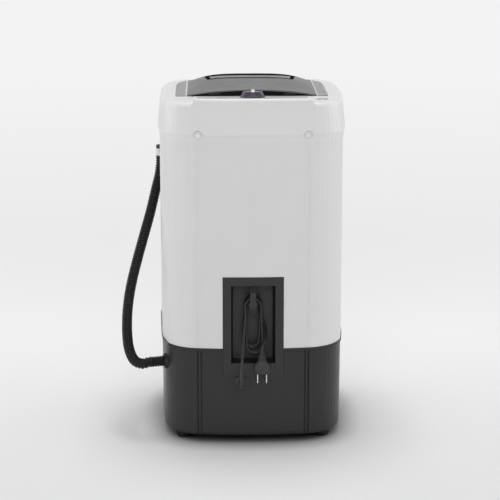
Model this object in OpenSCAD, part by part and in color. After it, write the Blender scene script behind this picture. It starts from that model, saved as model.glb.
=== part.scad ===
/* [Body] */
// Width and depth of the cabinet, across the middle of its bowed faces
body_w = 345; // [335:5:360]
// Radius of the gentle bow of each of the four faces
face_bow_r = 854; // [700:20:1100]
// Radius of the four vertical corners
corner_r = 76; // [66:2:84]
// Height of the rubber feet under the base
foot_h = 14; // [10:1:20]
// Height of the dark base housing, from its floor to the seam under the cabinet
base_h = 171; // [165:1:180]
// Height of the white cabinet between the base and the upper frame
cabinet_h = 386; // [376:2:420]
// Height of the upper frame's visible band, under the top cap
band_h = 11; // [9:0.5:14]
// Height of the top cap, from its lower edge to the deck
cap_h = 58; // [52:1:70]
// Wall of the moulded base, cap and frame
plastic_wall = 3; // [2.5:0.25:3.5]
// Sheet thickness of the cabinet
sheet_t = 1.5; // [1.2:0.1:2]

/* [Rear grooves and screws] */
// Distance of each rear groove from the centre line
groove_x = 99.3; // [92:1:106]
// Width of the rear grooves in the cabinet
groove_w = 8.6; // [7:0.2:10]
// Diameter of the round screw bosses on the upper frame
boss_d = 15; // [12:0.5:17]
// Shank diameter of the case screws
screw_d = 4; // [3.5:0.25:5]

/* [Cord bay] */
// Width of the cord bay's frame
bay_w = 112; // [106:1:118]
// Height of the cord bay's frame
bay_h = 188; // [182:1:196]
// Width of the pocket at its mouth
pocket_w = 82; // [76:1:88]
// Taper of each side of the pocket, from its mouth to its back
pocket_draft = 4.2; // [2:0.2:6]
// Height of the pocket
pocket_h = 148; // [142:1:152]
// Depth of the pocket behind the rear face
pocket_depth = 36; // [30:1:38]
// Wall of the pocket
pocket_wall = 2.5; // [2:0.25:3]
// Height of the pocket's floor edge above the ground
pocket_z = 157; // [152:1:160]
// Radius of the hook's peg
peg_r = 8; // [6:0.5:9]

/* [Lid] */
// Half width of the lid over its flat wings
lid_half_w = 140; // [136:1:144]
// Half width of the raised vault in the middle of the lid
vault_half_w = 120; // [112:1:124]
// Distance of the lid's rear edge behind the drum's axis
lid_rear_y = 70; // [66:1:72]
// Distance of the lid's front edge before the drum's axis
lid_front_y = 142; // [136:1:144]
// Rise of the vault's crest over the wings
vault_rise = 14; // [11:0.5:17]
// Thickness of the lid's shell
lid_t = 3; // [2.5:0.25:3.5]
// Radius of the D-shaped mouth in the deck
mouth_r = 108; // [98:1:110]

/* [Console] */
// Half width of the raised console
console_half_w = 106; // [100:1:112]
// Height of the console's rear rim over the deck
console_h = 9; // [7.5:0.5:10]
// Fall of the console's panel from its rim to its front edge
console_fall = 7; // [5:0.5:8]
// Diameter of the timer knob
knob_d = 45; // [40:1:50]
// Height of the timer knob's disc
knob_h = 10; // [7:0.5:12]
// Diameter of the timer's shaft
timer_shaft_d = 6; // [5:0.5:8]

/* [Tub and drum] */
// Gap between the spinning drum's wall and the outer tub
drum_space = 12; // [10:0.5:16]
// Gap between the drum's rim and the cover over the tub
rim_space = 11.5; // [9:0.5:20]
// Sheet thickness of the drum
drum_t = 1.2; // [1:0.1:2]
// Gap between the outer tub and the cord bay's pocket
tub_space = 7; // [5:0.5:9]
// Wall of the outer tub
tub_wall = 3; // [2.5:0.25:3.5]
// Height of the drum's pan above the cabinet's lower seam
pan_rise = 77; // [71:1:85]
// Columns of drain holes round the drum
hole_columns = 12; // [6:2:20]
// Rows of drain holes up the drum
hole_rows = 6; // [3:1:8]
// Diameter of the drain holes
hole_d = 5; // [3:0.5:7]

/* [Drive] */
// Diameter of the motor's shaft
shaft_d = 14; // [12:1:16]
// Radius of the motor's body
motor_r = 62; // [56:1:66]
// Height of the motor's body
motor_h = 92; // [84:1:96]
// Radius of the brake drum on the shaft
brake_r = 36; // [32:1:40]

/* [Hose and cord] */
// Outside diameter of the ribbed drain hose
hose_d = 20; // [18:0.5:22]
// Bore of the drain hose
hose_bore = 14; // [12:0.5:15]
// Spacing of the hose's ribs
rib_pitch = 5; // [4.5:0.1:6]
// Diameter of the power cord
cord_d = 4.8; // [4:0.1:5]
// Loops of cord wound on the hook
cord_loops = 5; // [3:1:5]

/* [Hidden] */

// Heights of the joints between the big mouldings, from the ground
z_seam = foot_h + base_h;
z_band = z_seam + cabinet_h;
z_cap = z_band + band_h;
z_deck = z_cap + cap_h;
z_rim = z_deck + console_h;

// Clearances: between pieces that seat, and round a shaft
seat_gap = 0.3;
run_gap = 0.05;

// The plan: four bowed faces joined by tangent corner arcs
half_w = body_w / 2;
bow_y = half_w - face_bow_r;
corner_c = (2 * bow_y + sqrt(4 * pow(bow_y, 2)
    - 8 * (pow(bow_y, 2) - pow(face_bow_r - corner_r, 2)))) / 4;
bow_angle = atan2(corner_c, corner_c - bow_y);
face_steps = 6;
corner_steps = 10;

// The tub clears the bay's pocket, and the drum turns inside the tub
tub_r = half_w - pocket_depth - pocket_wall - tub_space - tub_wall;
drum_r = tub_r - drum_space;

function turn(p, a) = [p.x * cos(a) - p.y * sin(a), p.x * sin(a) + p.y * cos(a)];

// One face arc and one corner arc of the plan, moved out by off
function quarter(off) = concat(
    [for (j = [0:face_steps]) let (t = bow_angle * (2 * j / face_steps - 1))
        [(face_bow_r + off) * sin(t), bow_y + (face_bow_r + off) * cos(t)]],
    [for (j = [1:corner_steps - 1]) let (t = bow_angle + (90 - 2 * bow_angle) * j / corner_steps)
        [corner_c + (corner_r + off) * sin(t), corner_c + (corner_r + off) * cos(t)]]);

function outline(off) = [for (q = [0:3], p = quarter(off)) turn(p, -90 * q)];

// Distance of the rear face behind the axis, at a place across it
function rear_y(x, off = 0) = bow_y + sqrt(pow(face_bow_r + off, 2) - pow(x, 2));

// A solid through outlines of the plan, each given as [offset, height]
module loft(levels) {
    n = len(outline(0));
    m = len(levels);
    polyhedron(
        points = [for (s = levels, p = outline(s[0])) [p.x, p.y, s[1]]],
        faces = concat(
            [[for (j = [n - 1:-1:0]) j]],
            [for (i = [0:m - 2], j = [0:n - 1])
                [i * n + j, i * n + (j + 1) % n, (i + 1) * n + (j + 1) % n, (i + 1) * n + j]],
            [[for (j = [0:n - 1]) (m - 1) * n + j]]));
}

// A straight-sided slab of the plan
module slab(off, z0, z1) {
    translate([0, 0, z0]) linear_extrude(z1 - z0) polygon(outline(off));
}

module ring(off_out, off_in, z0, z1) {
    difference() {
        slab(off_out, z0, z1);
        slab(off_in, z0 - 1, z1 + 1);
    }
}

module box_at(x0, x1, y0, y1, z0, z1) {
    translate([x0, y0, z0]) cube([x1 - x0, y1 - y0, z1 - z0]);
}

// A cylinder that starts at a point and runs along +Y
module rod_y(p, r, l) {
    translate(p) rotate([-90, 0, 0]) cylinder(r = r, h = l, $fn = 48);
}

module tube_z(r_out, r_in, z0, z1) {
    translate([0, 0, z0]) difference() {
        cylinder(r = r_out, h = z1 - z0, $fn = 96);
        translate([0, 0, -1]) cylinder(r = r_in, h = z1 - z0 + 2, $fn = 96);
    }
}

// ---- Base ----
base_off = -1.6;
collar_off = 1.4;
base_in = -6;
base_floor = 4;
ledge_z = z_seam - 5;
base_groove_w = groove_w + 0.6;
base_rib_w = 3.6;
groove_top = ledge_z - 1;
groove_cut = 4.8;
foot_x = corner_c + 40;
foot_y = corner_c + 32;
foot_r = 14.5;
service_r = 48;
cover_r = 58;
cover_t = 2.5;

function foot_place(i) = let (s = [[1, -1], [-1, -1], [-1, 1], [1, 1]][i]) [s.x * foot_x, s.y * foot_y];

// A strip of the wall, cut from the rear face to a depth below the plan
module rear_strip(x, w, out, depth, z0, z1) {
    intersection() {
        ring(out, -depth, z0, z1);
        box_at(x - w / 2, x + w / 2, half_w / 2, half_w + 20, z0, z1);
    }
}

// The hose corner is planed flat by two slanted planes, deepest at the seam
flat_angle = 15;
flat_depth = 2.5;
flat_rise = 300;
base_flat_depth = 2.6;
base_flat_fall = 90;
corner_reach = corner_c * (cos(flat_angle) + sin(flat_angle)) + corner_r;

module corner_flat(off, depth, up, length) {
    tilt = atan2(depth, length) * (up ? 1 : -1);
    rotate([0, 0, flat_angle]) translate([corner_reach + off - depth, 0, z_seam]) rotate([0, tilt, 0])
        box_at(0, 40, -160, 160, up ? -20 : -1.1 * length, up ? 1.1 * length : 20);
}

// The drain runs from a well in the tub's floor to the hose corner
outlet_z = 144;
outlet_rho = corner_r + 0.5;
outlet_pad_r = hose_d / 2 + 5;
nozzle_r = hose_bore / 2 - 0.1;
nozzle_bore = nozzle_r - 1.9;
nozzle_flange_r = hose_d / 2 + 3;
nozzle_flange_t = 2.5;
nozzle_len = 14;
hose_start = outlet_rho + nozzle_flange_t + seat_gap;
spout_inset = 18.4;
slant = corner_c * (cos(flat_angle) + sin(flat_angle));
drain_rho = sqrt(pow(slant, 2) - 2 * pow(corner_c, 2) + pow(tub_r - spout_inset, 2)) - slant;
drain_x = corner_c + drain_rho * cos(flat_angle);
drain_y = corner_c + drain_rho * sin(flat_angle);

// A cylinder along the outlet's axis, between two distances from the corner's centre
module outlet_rod(r, rho0, rho1) {
    translate([corner_c, corner_c, outlet_z]) rotate([0, 0, flat_angle]) translate([rho0, 0, 0])
        rotate([0, 90, 0]) cylinder(r = r, h = rho1 - rho0, $fn = 48);
}

// The power cord leaves the base beside the bay
gland_x = 24;
gland_z = 122;
gland_hole_r = 8;
bay_sill = 24;
bay_z = pocket_z - bay_sill;
bay_gap = 0.3;
bay_plate_t = 3;
mount_ring_r = 74;

module base_housing() {
    color([0.22, 0.22, 0.22]) difference() {
        union() {
            difference() {
                loft([[-8, foot_h], [-5.2, foot_h + 0.9], [-3.2, foot_h + 3], [-2, foot_h + 6],
                    [base_off, foot_h + 10], [base_off + 0.8, ledge_z - 12], [base_off + 1, ledge_z - 2],
                    [collar_off, ledge_z - 0.5], [collar_off, z_seam - 0.8], [collar_off - 0.7, z_seam]]);
                corner_flat(collar_off, base_flat_depth, false, base_flat_fall);
                loft([[-11, foot_h + base_floor], [-8, foot_h + 7], [base_in, foot_h + 13], [base_in, z_seam + 5]]);
            }
            outlet_rod(outlet_pad_r, corner_r + base_in - 1, outlet_rho);
            // bosses that carry the feet and the motor's mounts
            for (i = [0:3]) translate([foot_place(i).x, foot_place(i).y, foot_h + 1])
                cylinder(r = 9, h = base_floor + 8, $fn = 48);
            for (i = [0:2]) rotate([0, 0, 120 * i + 30]) translate([mount_ring_r, 0, foot_h + 1])
                cylinder(r = 14, h = base_floor + 1, $fn = 48);
        }
        // seat for the cabinet's lower edge
        difference() {
            slab(seat_gap, ledge_z, z_seam + 5);
            corner_flat(seat_gap, flat_depth, true, flat_rise);
        }
        // rear grooves, each with a rib left in its middle
        for (sx = [-1, 1]) difference() {
            rear_strip(sx * groove_x, base_groove_w, 6, groove_cut, foot_h + base_floor, groove_top);
            box_at(sx * groove_x - base_rib_w / 2, sx * groove_x + base_rib_w / 2, 0, half_w + 20, 0, groove_top);
        }
        // opening for the cord bay
        box_at(-bay_w / 2 - bay_gap, bay_w / 2 + bay_gap, half_w - pocket_depth, half_w + 20,
            bay_z - bay_gap, z_seam + 5);
        rod_y([gland_x, half_w - 30, gland_z], gland_hole_r, 60);
        outlet_rod(nozzle_r + 0.15, 30, corner_r + 20);
        for (i = [0:3]) translate([foot_place(i).x, foot_place(i).y, foot_h - 1])
            cylinder(r = screw_d / 2, h = 12, $fn = 32);
        translate([0, 0, foot_h - 1]) cylinder(r = service_r, h = base_floor + 3, $fn = 96);
    }
}

// Round cover under the motor, with rows of air slots
module bottom_cover() {
    color([0.2, 0.2, 0.2]) difference() {
        union() {
            translate([0, 0, foot_h - cover_t]) cylinder(r = cover_r, h = cover_t, $fn = 96);
            tube_z(service_r - seat_gap, service_r - 3, foot_h - 0.5, foot_h + base_floor - 1);
        }
        for (i = [-3:3]) box_at(i * 11 - 2.5, i * 11 + 2.5, -36 + 3 * abs(i), 36 - 3 * abs(i), 0, foot_h + 1);
    }
}

foot_screw_head_z = 5;

module foot(i) {
    p = foot_place(i);
    color([0.07, 0.07, 0.07]) translate([p.x, p.y, 0]) rotate_extrude($fn = 64) polygon([
        [screw_d / 2 + 0.2, foot_screw_head_z], [screw_d / 2 + 0.2, foot_h], [foot_r, foot_h],
        [foot_r, 8], [foot_r - 0.8, 3.6], [foot_r - 2.4, 1.2], [foot_r - 4, 0.3], [foot_r - 5.5, 0],
        [screw_d + 1, 0], [screw_d + 1, foot_screw_head_z]]);
}

module foot_screws() {
    color([0.6, 0.6, 0.6]) for (i = [0:3]) translate([foot_place(i).x, foot_place(i).y, 0]) {
        translate([0, 0, foot_screw_head_z - 3]) cylinder(r = screw_d, h = 3, $fn = 32);
        translate([0, 0, foot_screw_head_z - 1]) cylinder(r = screw_d / 2 - 0.05, h = foot_h + 4, $fn = 32);
    }
}

// ---- Cabinet and upper frame ----
groove_depth = 0.7;

module cabinet_solid(off, z0, z1) {
    difference() {
        slab(off, z0, z1);
        corner_flat(off, flat_depth, true, flat_rise);
    }
}

module cabinet_shell() {
    color([0.9, 0.9, 0.9]) difference() {
        cabinet_solid(0, ledge_z + 0.1, z_band);
        cabinet_solid(-sheet_t, ledge_z - 1, z_band + 1);
        for (sx = [-1, 1]) rear_strip(sx * groove_x, groove_w, 5, groove_depth, ledge_z, z_band + 1);
        box_at(-bay_w / 2 - bay_gap, bay_w / 2 + bay_gap, half_w - pocket_depth, half_w + 10,
            0, bay_z + bay_h + bay_gap);
    }
}

frame_off = 0.8;
frame_tongue = 8;
tub_flange_t = 3;
ledge_t = 3;
boss_z = z_cap + 1.5;
boss_depth = 12;
boss_out = 2.4;
head_r = screw_d;
head_t = 2.4;
boss_floor = boss_out - 1.8;

module boss_places() {
    for (sy = [0, 1], sx = [-1, 1]) mirror([0, sy, 0]) translate([sx * groove_x, 0, boss_z]) children();
}

// The frame closes the cabinet, carries the tub's flange and takes the cap's screws
module upper_frame() {
    color([0.88, 0.88, 0.88]) difference() {
        union() {
            ring(frame_off, -4.2, z_band, z_cap);
            ring(-sheet_t - 0.2, -4.2, z_band - frame_tongue, z_band);
            ring(-0.1, -4.2, z_cap, z_cap + 7);
            difference() {
                slab(-4, z_band - ledge_t, z_band);
                translate([0, 0, z_band - 10]) cylinder(r = tub_r + tub_wall + 1, h = 20, $fn = 128);
            }
            boss_places() rod_y([0, rear_y(groove_x) - boss_depth, 0], boss_d / 2, boss_depth + boss_out);
        }
        boss_places() {
            rod_y([0, rear_y(groove_x) + boss_floor, 0], head_r + 0.6, 6);
            rod_y([0, rear_y(groove_x) - boss_depth - 1, 0], screw_d / 2, boss_depth + 6);
        }
    }
}

module case_screws() {
    color([0.75, 0.75, 0.75]) boss_places() difference() {
        union() {
            rod_y([0, rear_y(groove_x) + boss_floor, 0], head_r, head_t - 1);
            rod_y([0, rear_y(groove_x) - boss_depth + 1, 0], screw_d / 2 - 0.05, boss_depth + 1);
        }
        for (a = [0, 90]) translate([0, rear_y(groove_x) + boss_floor + head_t - 1.8, 0])
            rotate([0, a, 0]) translate([-2.4, 0, -0.5]) cube([4.8, 3, 1]);
    }
}

// ---- Top cap ----
cap_off = 3.2;
top_off = -1;
wall_in = cap_off - plastic_wall;
console_front_y = lid_rear_y + 14;
rim_y = half_w - 10;
console_slope = atan2(console_fall, rim_y - console_front_y);
console_end = 6;
console_under = z_deck - 10;
lid_gap = 1;
lid_bottom = z_deck - 1;
rebate_z = z_deck - 4;
deck_under = z_deck - plastic_wall;
rebate_under = rebate_z - plastic_wall;
mouth_flat_y = lid_rear_y - 14;
trough_y0 = lid_rear_y - 6;
trough_half_w = console_half_w + 4;

// Half width of the lid at a distance along it, with its rounded front corners
lid_corner_r = 62;
function lid_w(y) = let (d = max(0, -lid_front_y + lid_corner_r - y))
    lid_half_w - lid_corner_r + lid_corner_r * sqrt(max(0, 1 - pow(min(d, lid_corner_r) / lid_corner_r, 2)));
lid_bow = 5;
function bowed(t, y) = y - lid_bow * max(0, min(1, (20 - y) / 160)) * (1 - t * t);
lid_bends = [for (f = [0, 0.23, 0.45, 0.65, 0.81, 0.92]) lid_corner_r * (1 - f) - lid_front_y];
lid_side = concat([0], lid_bends);
lid_rows = concat([lid_rear_y, lid_rear_y - 4, 45, 18, -10, -38, -65], lid_bends, [-lid_front_y]);
function side_point(i, g) = let (y = lid_side[i], w = lid_w(y)) [w + g, y - g * (lid_half_w - w) / lid_half_w];

// The lid's D outline in plan, grown by g
function lid_plan(g) = concat(
    [[-lid_half_w - g, lid_rear_y + g]],
    [for (i = [0:len(lid_side) - 1]) [-side_point(i, g).x, side_point(i, g).y]],
    [for (t = [-1:0.25:1]) [t * (lid_w(-lid_front_y) + g * 0.6), bowed(t, -lid_front_y) - g]],
    [for (i = [len(lid_side) - 1:-1:0]) side_point(i, g)],
    [[lid_half_w + g, lid_rear_y + g]]);

// The raised console behind the lid, shrunk by s to hollow it
module console_block(s) {
    intersection() {
        loft([[top_off - s, console_under], [top_off - 0.6 - s, z_rim - 4 - s], [top_off - 2 - s, z_rim - 1.2 - s],
            [top_off - 4.5 - s, z_rim - s]]);
        translate([console_half_w + 30, 0, 0]) rotate([0, -90, 0]) linear_extrude(2 * console_half_w + 60)
            polygon([[console_under, console_front_y + s], [z_rim - console_fall - s, console_front_y + s],
                [z_rim - s, rim_y - s], [z_rim - s, half_w + 9], [console_under, half_w + 9]]);
        rotate([90, 0, 0]) translate([0, 0, -half_w - 10]) linear_extrude(half_w) polygon([
            [-console_half_w - console_end + s, console_under], [-console_half_w - console_end + s, z_deck - 1],
            [-console_half_w - 2 + s, z_deck + 1.5], [-console_half_w + s, z_rim - 1],
            [-console_half_w + 1.5 + s, z_rim + 1],
            [console_half_w - 1.5 - s, z_rim + 1], [console_half_w - s, z_rim - 1],
            [console_half_w + 2 - s, z_deck + 1.5],
            [console_half_w + console_end - s, z_deck - 1], [console_half_w + console_end - s, console_under]]);
    }
}

knob_y = console_front_y + 43;
panel_t = 0.8;
panel_recess = 0.5;

// Places what stands on the console's slope, with its origin on the moulding's surface
module on_console(y) {
    translate([0, y, z_rim - console_fall + (y - console_front_y) * tan(console_slope)])
        rotate([console_slope, 0, 0]) children();
}

// The panel's lens outline, on the slope, grown by g
panel_half_w = console_half_w - 5;
panel_front = 2;
function panel_plan(g) = concat(
    [[-panel_half_w - g, panel_front - g - knob_y + console_front_y],
     [panel_half_w + g, panel_front - g - knob_y + console_front_y]],
    [for (j = [10:-1:-10]) let (x = panel_half_w * j / 10)
        [x + sign(j) * g, (rear_y(x) - half_w + rim_y - knob_y - 4) + g]]);

switch_x = lid_half_w - 14;
switch_y = 34;
button_r = 2.5;
tub_cover_t = 3;
skirt_z = z_band + tub_flange_t + tub_cover_t + seat_gap;

module mouth(r, flat, z0, z1) {
    intersection() {
        translate([0, 0, z0]) cylinder(r = r, h = z1 - z0, $fn = 128);
        box_at(-r - 1, r + 1, -r - 1, flat, z0 - 1, z1 + 1);
    }
}

module top_cap() {
    color([0.92, 0.92, 0.92]) difference() {
        union() {
            difference() {
                loft([[cap_off, z_cap + 0.2], [cap_off, z_cap + 3], [top_off, z_deck - 10], [top_off - 0.8, z_deck - 5],
                    [top_off - 2.4, z_deck - 1.6], [top_off - 5, z_deck]]);
                loft([[wall_in, z_cap - 1], [wall_in, z_cap + 9], [top_off - plastic_wall, z_deck - 12],
                    [top_off - plastic_wall - 3, deck_under]]);
            }
            console_block(0);
            mouth(mouth_r + plastic_wall, mouth_flat_y + plastic_wall, skirt_z, rebate_z);
            // the deck steps down under the lid and at the hinge trough
            translate([0, 0, rebate_under]) linear_extrude(z_deck - rebate_under) polygon(lid_plan(lid_gap + plastic_wall));
        }
        translate([0, 0, rebate_z]) linear_extrude(20) polygon(lid_plan(lid_gap));
        mouth(mouth_r, mouth_flat_y, skirt_z - 1, z_deck);
        box_at(-trough_half_w, trough_half_w, trough_y0, console_front_y, rebate_under - 1, z_rim);
        difference() {
            console_block(plastic_wall);
            box_at(-half_w, half_w, 0, console_front_y + plastic_wall, 0, z_rim);
        }
        on_console(knob_y) {
            translate([0, 0, -panel_recess]) linear_extrude(10) polygon(panel_plan(0.2));
            translate([0, 0, -20]) cylinder(r = 6, h = 40, $fn = 48);
        }
        boss_places() rod_y([0, half_w - 30, 0], boss_d / 2 + 0.7, 60);
        translate([switch_x, switch_y, rebate_under - 1]) cylinder(r = button_r + 0.3, h = 20, $fn = 32);
    }
}

module console_panel() {
    color([0.78, 0.78, 0.78]) on_console(knob_y) translate([0, 0, -panel_recess]) difference() {
        linear_extrude(panel_t) polygon(panel_plan(0));
        translate([0, 0, -1]) cylinder(r = 6, h = 5, $fn = 48);
    }
}

// ---- Lid ----
wing_z = z_deck + 2;
vault_step = 1;
vault_rear_rise = 10;
vault_front_rise = 8;
vault_ratio = vault_half_w / lid_half_w;
function smooth(t) = let (c = max(0, min(1, t))) c * c * (3 - 2 * c);
function vault_rise_at(y) = y > -100
    ? vault_rear_rise + (vault_rise - vault_rear_rise) * smooth((lid_rear_y - y) / 150)
    : vault_rise - (vault_rise - vault_front_rise) * pow((-100 - y) / 42, 2);
function vault_power(y) = 2 + 2 * smooth((lid_rear_y - y) / 120);
function lid_top(x, y) = let (u = min(1, abs(x) / (vault_ratio * lid_w(y))))
    wing_z + (u < 1 ? vault_step + vault_rise_at(y) * (1 - pow(u, vault_power(y))) : 0);

// A closed sheet between two grids of points, as many rows as columns allow
module grid_sheet(top, bottom) {
    n = len(top);
    m = len(top[0]);
    low = n * m;
    polyhedron(concat([for (r = top, p = r) p], [for (r = bottom, p = r) p]), concat(
        [for (i = [0:n - 2], j = [0:m - 2]) each [
            [i * m + j, i * m + j + 1, i * m + m + j + 1], [i * m + j, i * m + m + j + 1, i * m + m + j],
            [low + i * m + j, low + i * m + m + j + 1, low + i * m + j + 1],
            [low + i * m + j, low + i * m + m + j, low + i * m + m + j + 1]]],
        [for (i = [0:n - 2]) each [
            [i * m, i * m + m, low + i * m + m], [i * m, low + i * m + m, low + i * m],
            [i * m + m - 1, low + i * m + 2 * m - 1, i * m + 2 * m - 1],
            [i * m + m - 1, low + i * m + m - 1, low + i * m + 2 * m - 1]]],
        [for (j = [0:m - 2]) each [
            [j, low + j + 1, j + 1], [j, low + j, low + j + 1],
            [low - m + j, low - m + j + 1, 2 * low - m + j + 1], [low - m + j, 2 * low - m + j + 1, 2 * low - m + j]]]));
}

lid_columns = [-1, -0.995, -0.91, -vault_ratio - 0.004, for (t = [-1, -0.94, -0.84, -0.7, -0.5, -0.26, 0, 0.26, 0.5,
    0.7, 0.84, 0.94, 1]) t * (vault_ratio - 0.001), vault_ratio + 0.004, 0.91, 0.995, 1];
function lid_edge(t) = abs(t) > 0.999 ? 1.1 : 0;
function lid_row(y, drop) = [for (t = lid_columns) let (x = t * lid_w(y))
    [x, bowed(t, y), lid_top(x, y) - drop - (drop == 0 ? lid_edge(t) : 0)]];

// The same skin over part of the lid, from y0 to y1 with half widths w0 and w1
function skin_grid(y0, y1, w0, w1, drop) = [for (i = [0:6]) let (y = y0 + (y1 - y0) * i / 6, w = w0 + (w1 - w0) * i / 6)
    [for (t = [-1:0.125:1]) [t * w, bowed(t * w / lid_half_w, y), lid_top(t * w, y) - drop]]];

window_y0 = -48;
window_y1 = -115;
window_w0 = 82;
window_w1 = 91;
window_lap = 5;
pane_t = 1.6;

module outer_lid() {
    color([0.6, 0.6, 0.6]) difference() {
        grid_sheet([for (y = lid_rows) lid_row(y, 0)], [for (y = lid_rows) lid_row(y, lid_t)]);
        grid_sheet(skin_grid(window_y0, window_y1, window_w0, window_w1, -5),
            skin_grid(window_y0, window_y1, window_w0, window_w1, lid_t + 3));
        grid_sheet(skin_grid(window_y0 + window_lap, window_y1 - window_lap, window_w0 + window_lap,
            window_w1 + window_lap, lid_t - pane_t), skin_grid(window_y0 + window_lap, window_y1 - window_lap,
            window_w0 + window_lap, window_w1 + window_lap, lid_t + 3));
    }
}

module lid_window() {
    edge = window_lap - seat_gap;
    color([0.13, 0.14, 0.15]) {
        grid_sheet(skin_grid(window_y0 + edge, window_y1 - edge, window_w0 + edge, window_w1 + edge,
            lid_t - pane_t + 0.1), skin_grid(window_y0 + edge, window_y1 - edge, window_w0 + edge,
            window_w1 + edge, lid_t));
        grid_sheet(skin_grid(window_y0 - seat_gap, window_y1 + seat_gap, window_w0 - seat_gap, window_w1 - seat_gap, 0.4),
            skin_grid(window_y0 - seat_gap, window_y1 + seat_gap, window_w0 - seat_gap, window_w1 - seat_gap, lid_t - 0.5));
    }
}

hinge_y = lid_rear_y + 6;
hinge_z = z_deck + 3;
hinge_r = 4.2;
hinge_pin_r = 2;
knuckle_x = 70;
knuckle_w = 14;
ear_gap = 0.6;
ear_w = 4;
pin_len = knuckle_w + 2 * ear_w + 2 * ear_gap;
inner_plate_z = z_deck - 3.6;
rim_r = mouth_r - 4;
rim_flat_y = mouth_flat_y - 4;
rim_depth = 10;
rear_wall_t = 3;

module hinge_rod(x, r, w) {
    translate([x - w / 2, hinge_y, hinge_z]) rotate([0, 90, 0]) cylinder(r = r, h = w, $fn = 48);
}

// Black inner lid: a flange that closes on the rebate, a rim that drops into the mouth and the hinge arms
module inner_lid() {
    color([0.08, 0.08, 0.08]) difference() {
        union() {
            difference() {
                translate([0, 0, inner_plate_z]) linear_extrude(lid_bottom - inner_plate_z) polygon(lid_plan(-3));
                translate([0, 0, inner_plate_z - 1]) linear_extrude(9)
                    polygon([[-window_w0, window_y0], [-window_w1, window_y1], [window_w1, window_y1], [window_w0, window_y0]]);
            }
            difference() {
                mouth(rim_r, rim_flat_y, inner_plate_z - rim_depth, inner_plate_z);
                mouth(rim_r - 3, rim_flat_y - 3, inner_plate_z - rim_depth - 1, inner_plate_z + 1);
            }
            grid_sheet([for (y = [lid_rear_y - 3, lid_rear_y - 3 - rear_wall_t]) [for (t = [-1:0.125:1])
                [t * (vault_half_w - 6), y, lid_top(t * (vault_half_w - 6), y) - lid_t - seat_gap]]],
                [for (y = [lid_rear_y - 3, lid_rear_y - 3 - rear_wall_t]) [for (t = [-1:0.125:1])
                [t * (vault_half_w - 6), y, inner_plate_z]]]);
            for (sx = [-1, 1]) {
                box_at(sx * knuckle_x - knuckle_w / 2, sx * knuckle_x + knuckle_w / 2, lid_rear_y - 10, hinge_y,
                    inner_plate_z, hinge_z + hinge_r - 2);
                hinge_rod(sx * knuckle_x, hinge_r, knuckle_w);
            }
        }
        for (sx = [-1, 1]) hinge_rod(sx * knuckle_x, hinge_pin_r + run_gap, knuckle_w + 2);
    }
}

module hinge_pins() {
    color([0.7, 0.7, 0.7]) for (sx = [-1, 1]) hinge_rod(sx * knuckle_x, hinge_pin_r, pin_len);
}

rail_t = 2.5;
rail_z = rebate_under - 6;
rail_half_w = trough_half_w - 6;
rail_y = mouth_flat_y + plastic_wall + seat_gap;

// Black channel under the trough; its ears hold the hinge pins
module hinge_rail() {
    color([0.1, 0.1, 0.1]) difference() {
        union() {
            box_at(-rail_half_w, rail_half_w, rail_y, console_front_y + 6, rail_z, rail_z + rail_t);
            box_at(-rail_half_w, rail_half_w, rail_y, trough_y0 - 1, rail_z, rebate_under);
            box_at(-rail_half_w, rail_half_w, console_front_y, console_front_y + 6, rail_z, console_under);
            for (sx = [-1, 1], se = [-1, 1]) translate([sx * knuckle_x + se * (knuckle_w / 2 + ear_gap + ear_w / 2), 0, 0]) {
                box_at(-ear_w / 2, ear_w / 2, hinge_y - hinge_r - 1, hinge_y + hinge_r, rail_z, hinge_z);
                hinge_rod(0, hinge_r, ear_w);
            }
        }
        for (sx = [-1, 1]) hinge_rod(sx * knuckle_x, hinge_pin_r, pin_len);
    }
}

// ---- Timer ----
knob_flange_r = knob_d / 2;
fin_w = 6;
fin_h = 3.5;
timer_r = 22;
timer_h = 24;
bush_r = 5.4;
bush_top = -1;

module timer_knob() {
    color([0.17, 0.12, 0.18]) on_console(knob_y) difference() {
        union() {
            translate([0, 0, panel_t]) rotate_extrude($fn = 72) polygon([[0, 0], [knob_flange_r, 0],
                [knob_flange_r, 2.2], [knob_flange_r - 2, 3.2], [knob_flange_r - 5, knob_h], [0, knob_h]]);
            intersection() {
                translate([0, 0, panel_t]) rotate_extrude($fn = 72) polygon([[0, 1], [knob_flange_r - 2, 1],
                    [knob_flange_r - 2.4, knob_h], [knob_flange_r - 4.5, knob_h + fin_h - 1.4],
                    [knob_flange_r - 6, knob_h + fin_h], [0, knob_h + fin_h]]);
                translate([-fin_w / 2, -knob_d, 0]) cube([fin_w, 2 * knob_d, 40]);
            }
        }
        translate([0, 0, -1]) cylinder(r = timer_shaft_d / 2, h = knob_h, $fn = 48);
    }
}

module timer_shaft() {
    color([0.7, 0.7, 0.7]) on_console(knob_y)
        translate([0, 0, -timer_h]) cylinder(r = timer_shaft_d / 2, h = timer_h + knob_h - 1, $fn = 48);
}

timer_top = -plastic_wall - 1;

module timer_body() {
    color([0.85, 0.82, 0.7]) on_console(knob_y) difference() {
        union() {
            translate([0, 0, timer_top - timer_h]) cylinder(r = timer_r, h = timer_h, $fn = 64);
            translate([0, 0, timer_top - 1]) cylinder(r = bush_r, h = bush_top - timer_top + 1, $fn = 48);
        }
        translate([0, 0, -timer_h - 0.5]) cylinder(r = timer_shaft_d / 2 + run_gap, h = timer_h + 5, $fn = 48);
    }
}

// ---- Lid switch ----
button_travel = 3;
switch_h = 18;
switch_top = rebate_under;
button_z0 = rebate_under - 9;
button_top = inner_plate_z - 0.2;

module lid_switch() {
    color([0.15, 0.15, 0.15]) difference() {
        box_at(switch_x - 8, switch_x + 8, switch_y - 12, switch_y + 12, switch_top - switch_h, switch_top);
        translate([switch_x, switch_y, button_z0 - button_travel - 0.3]) cylinder(r = button_r + run_gap, h = 30, $fn = 32);
    }
}

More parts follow.
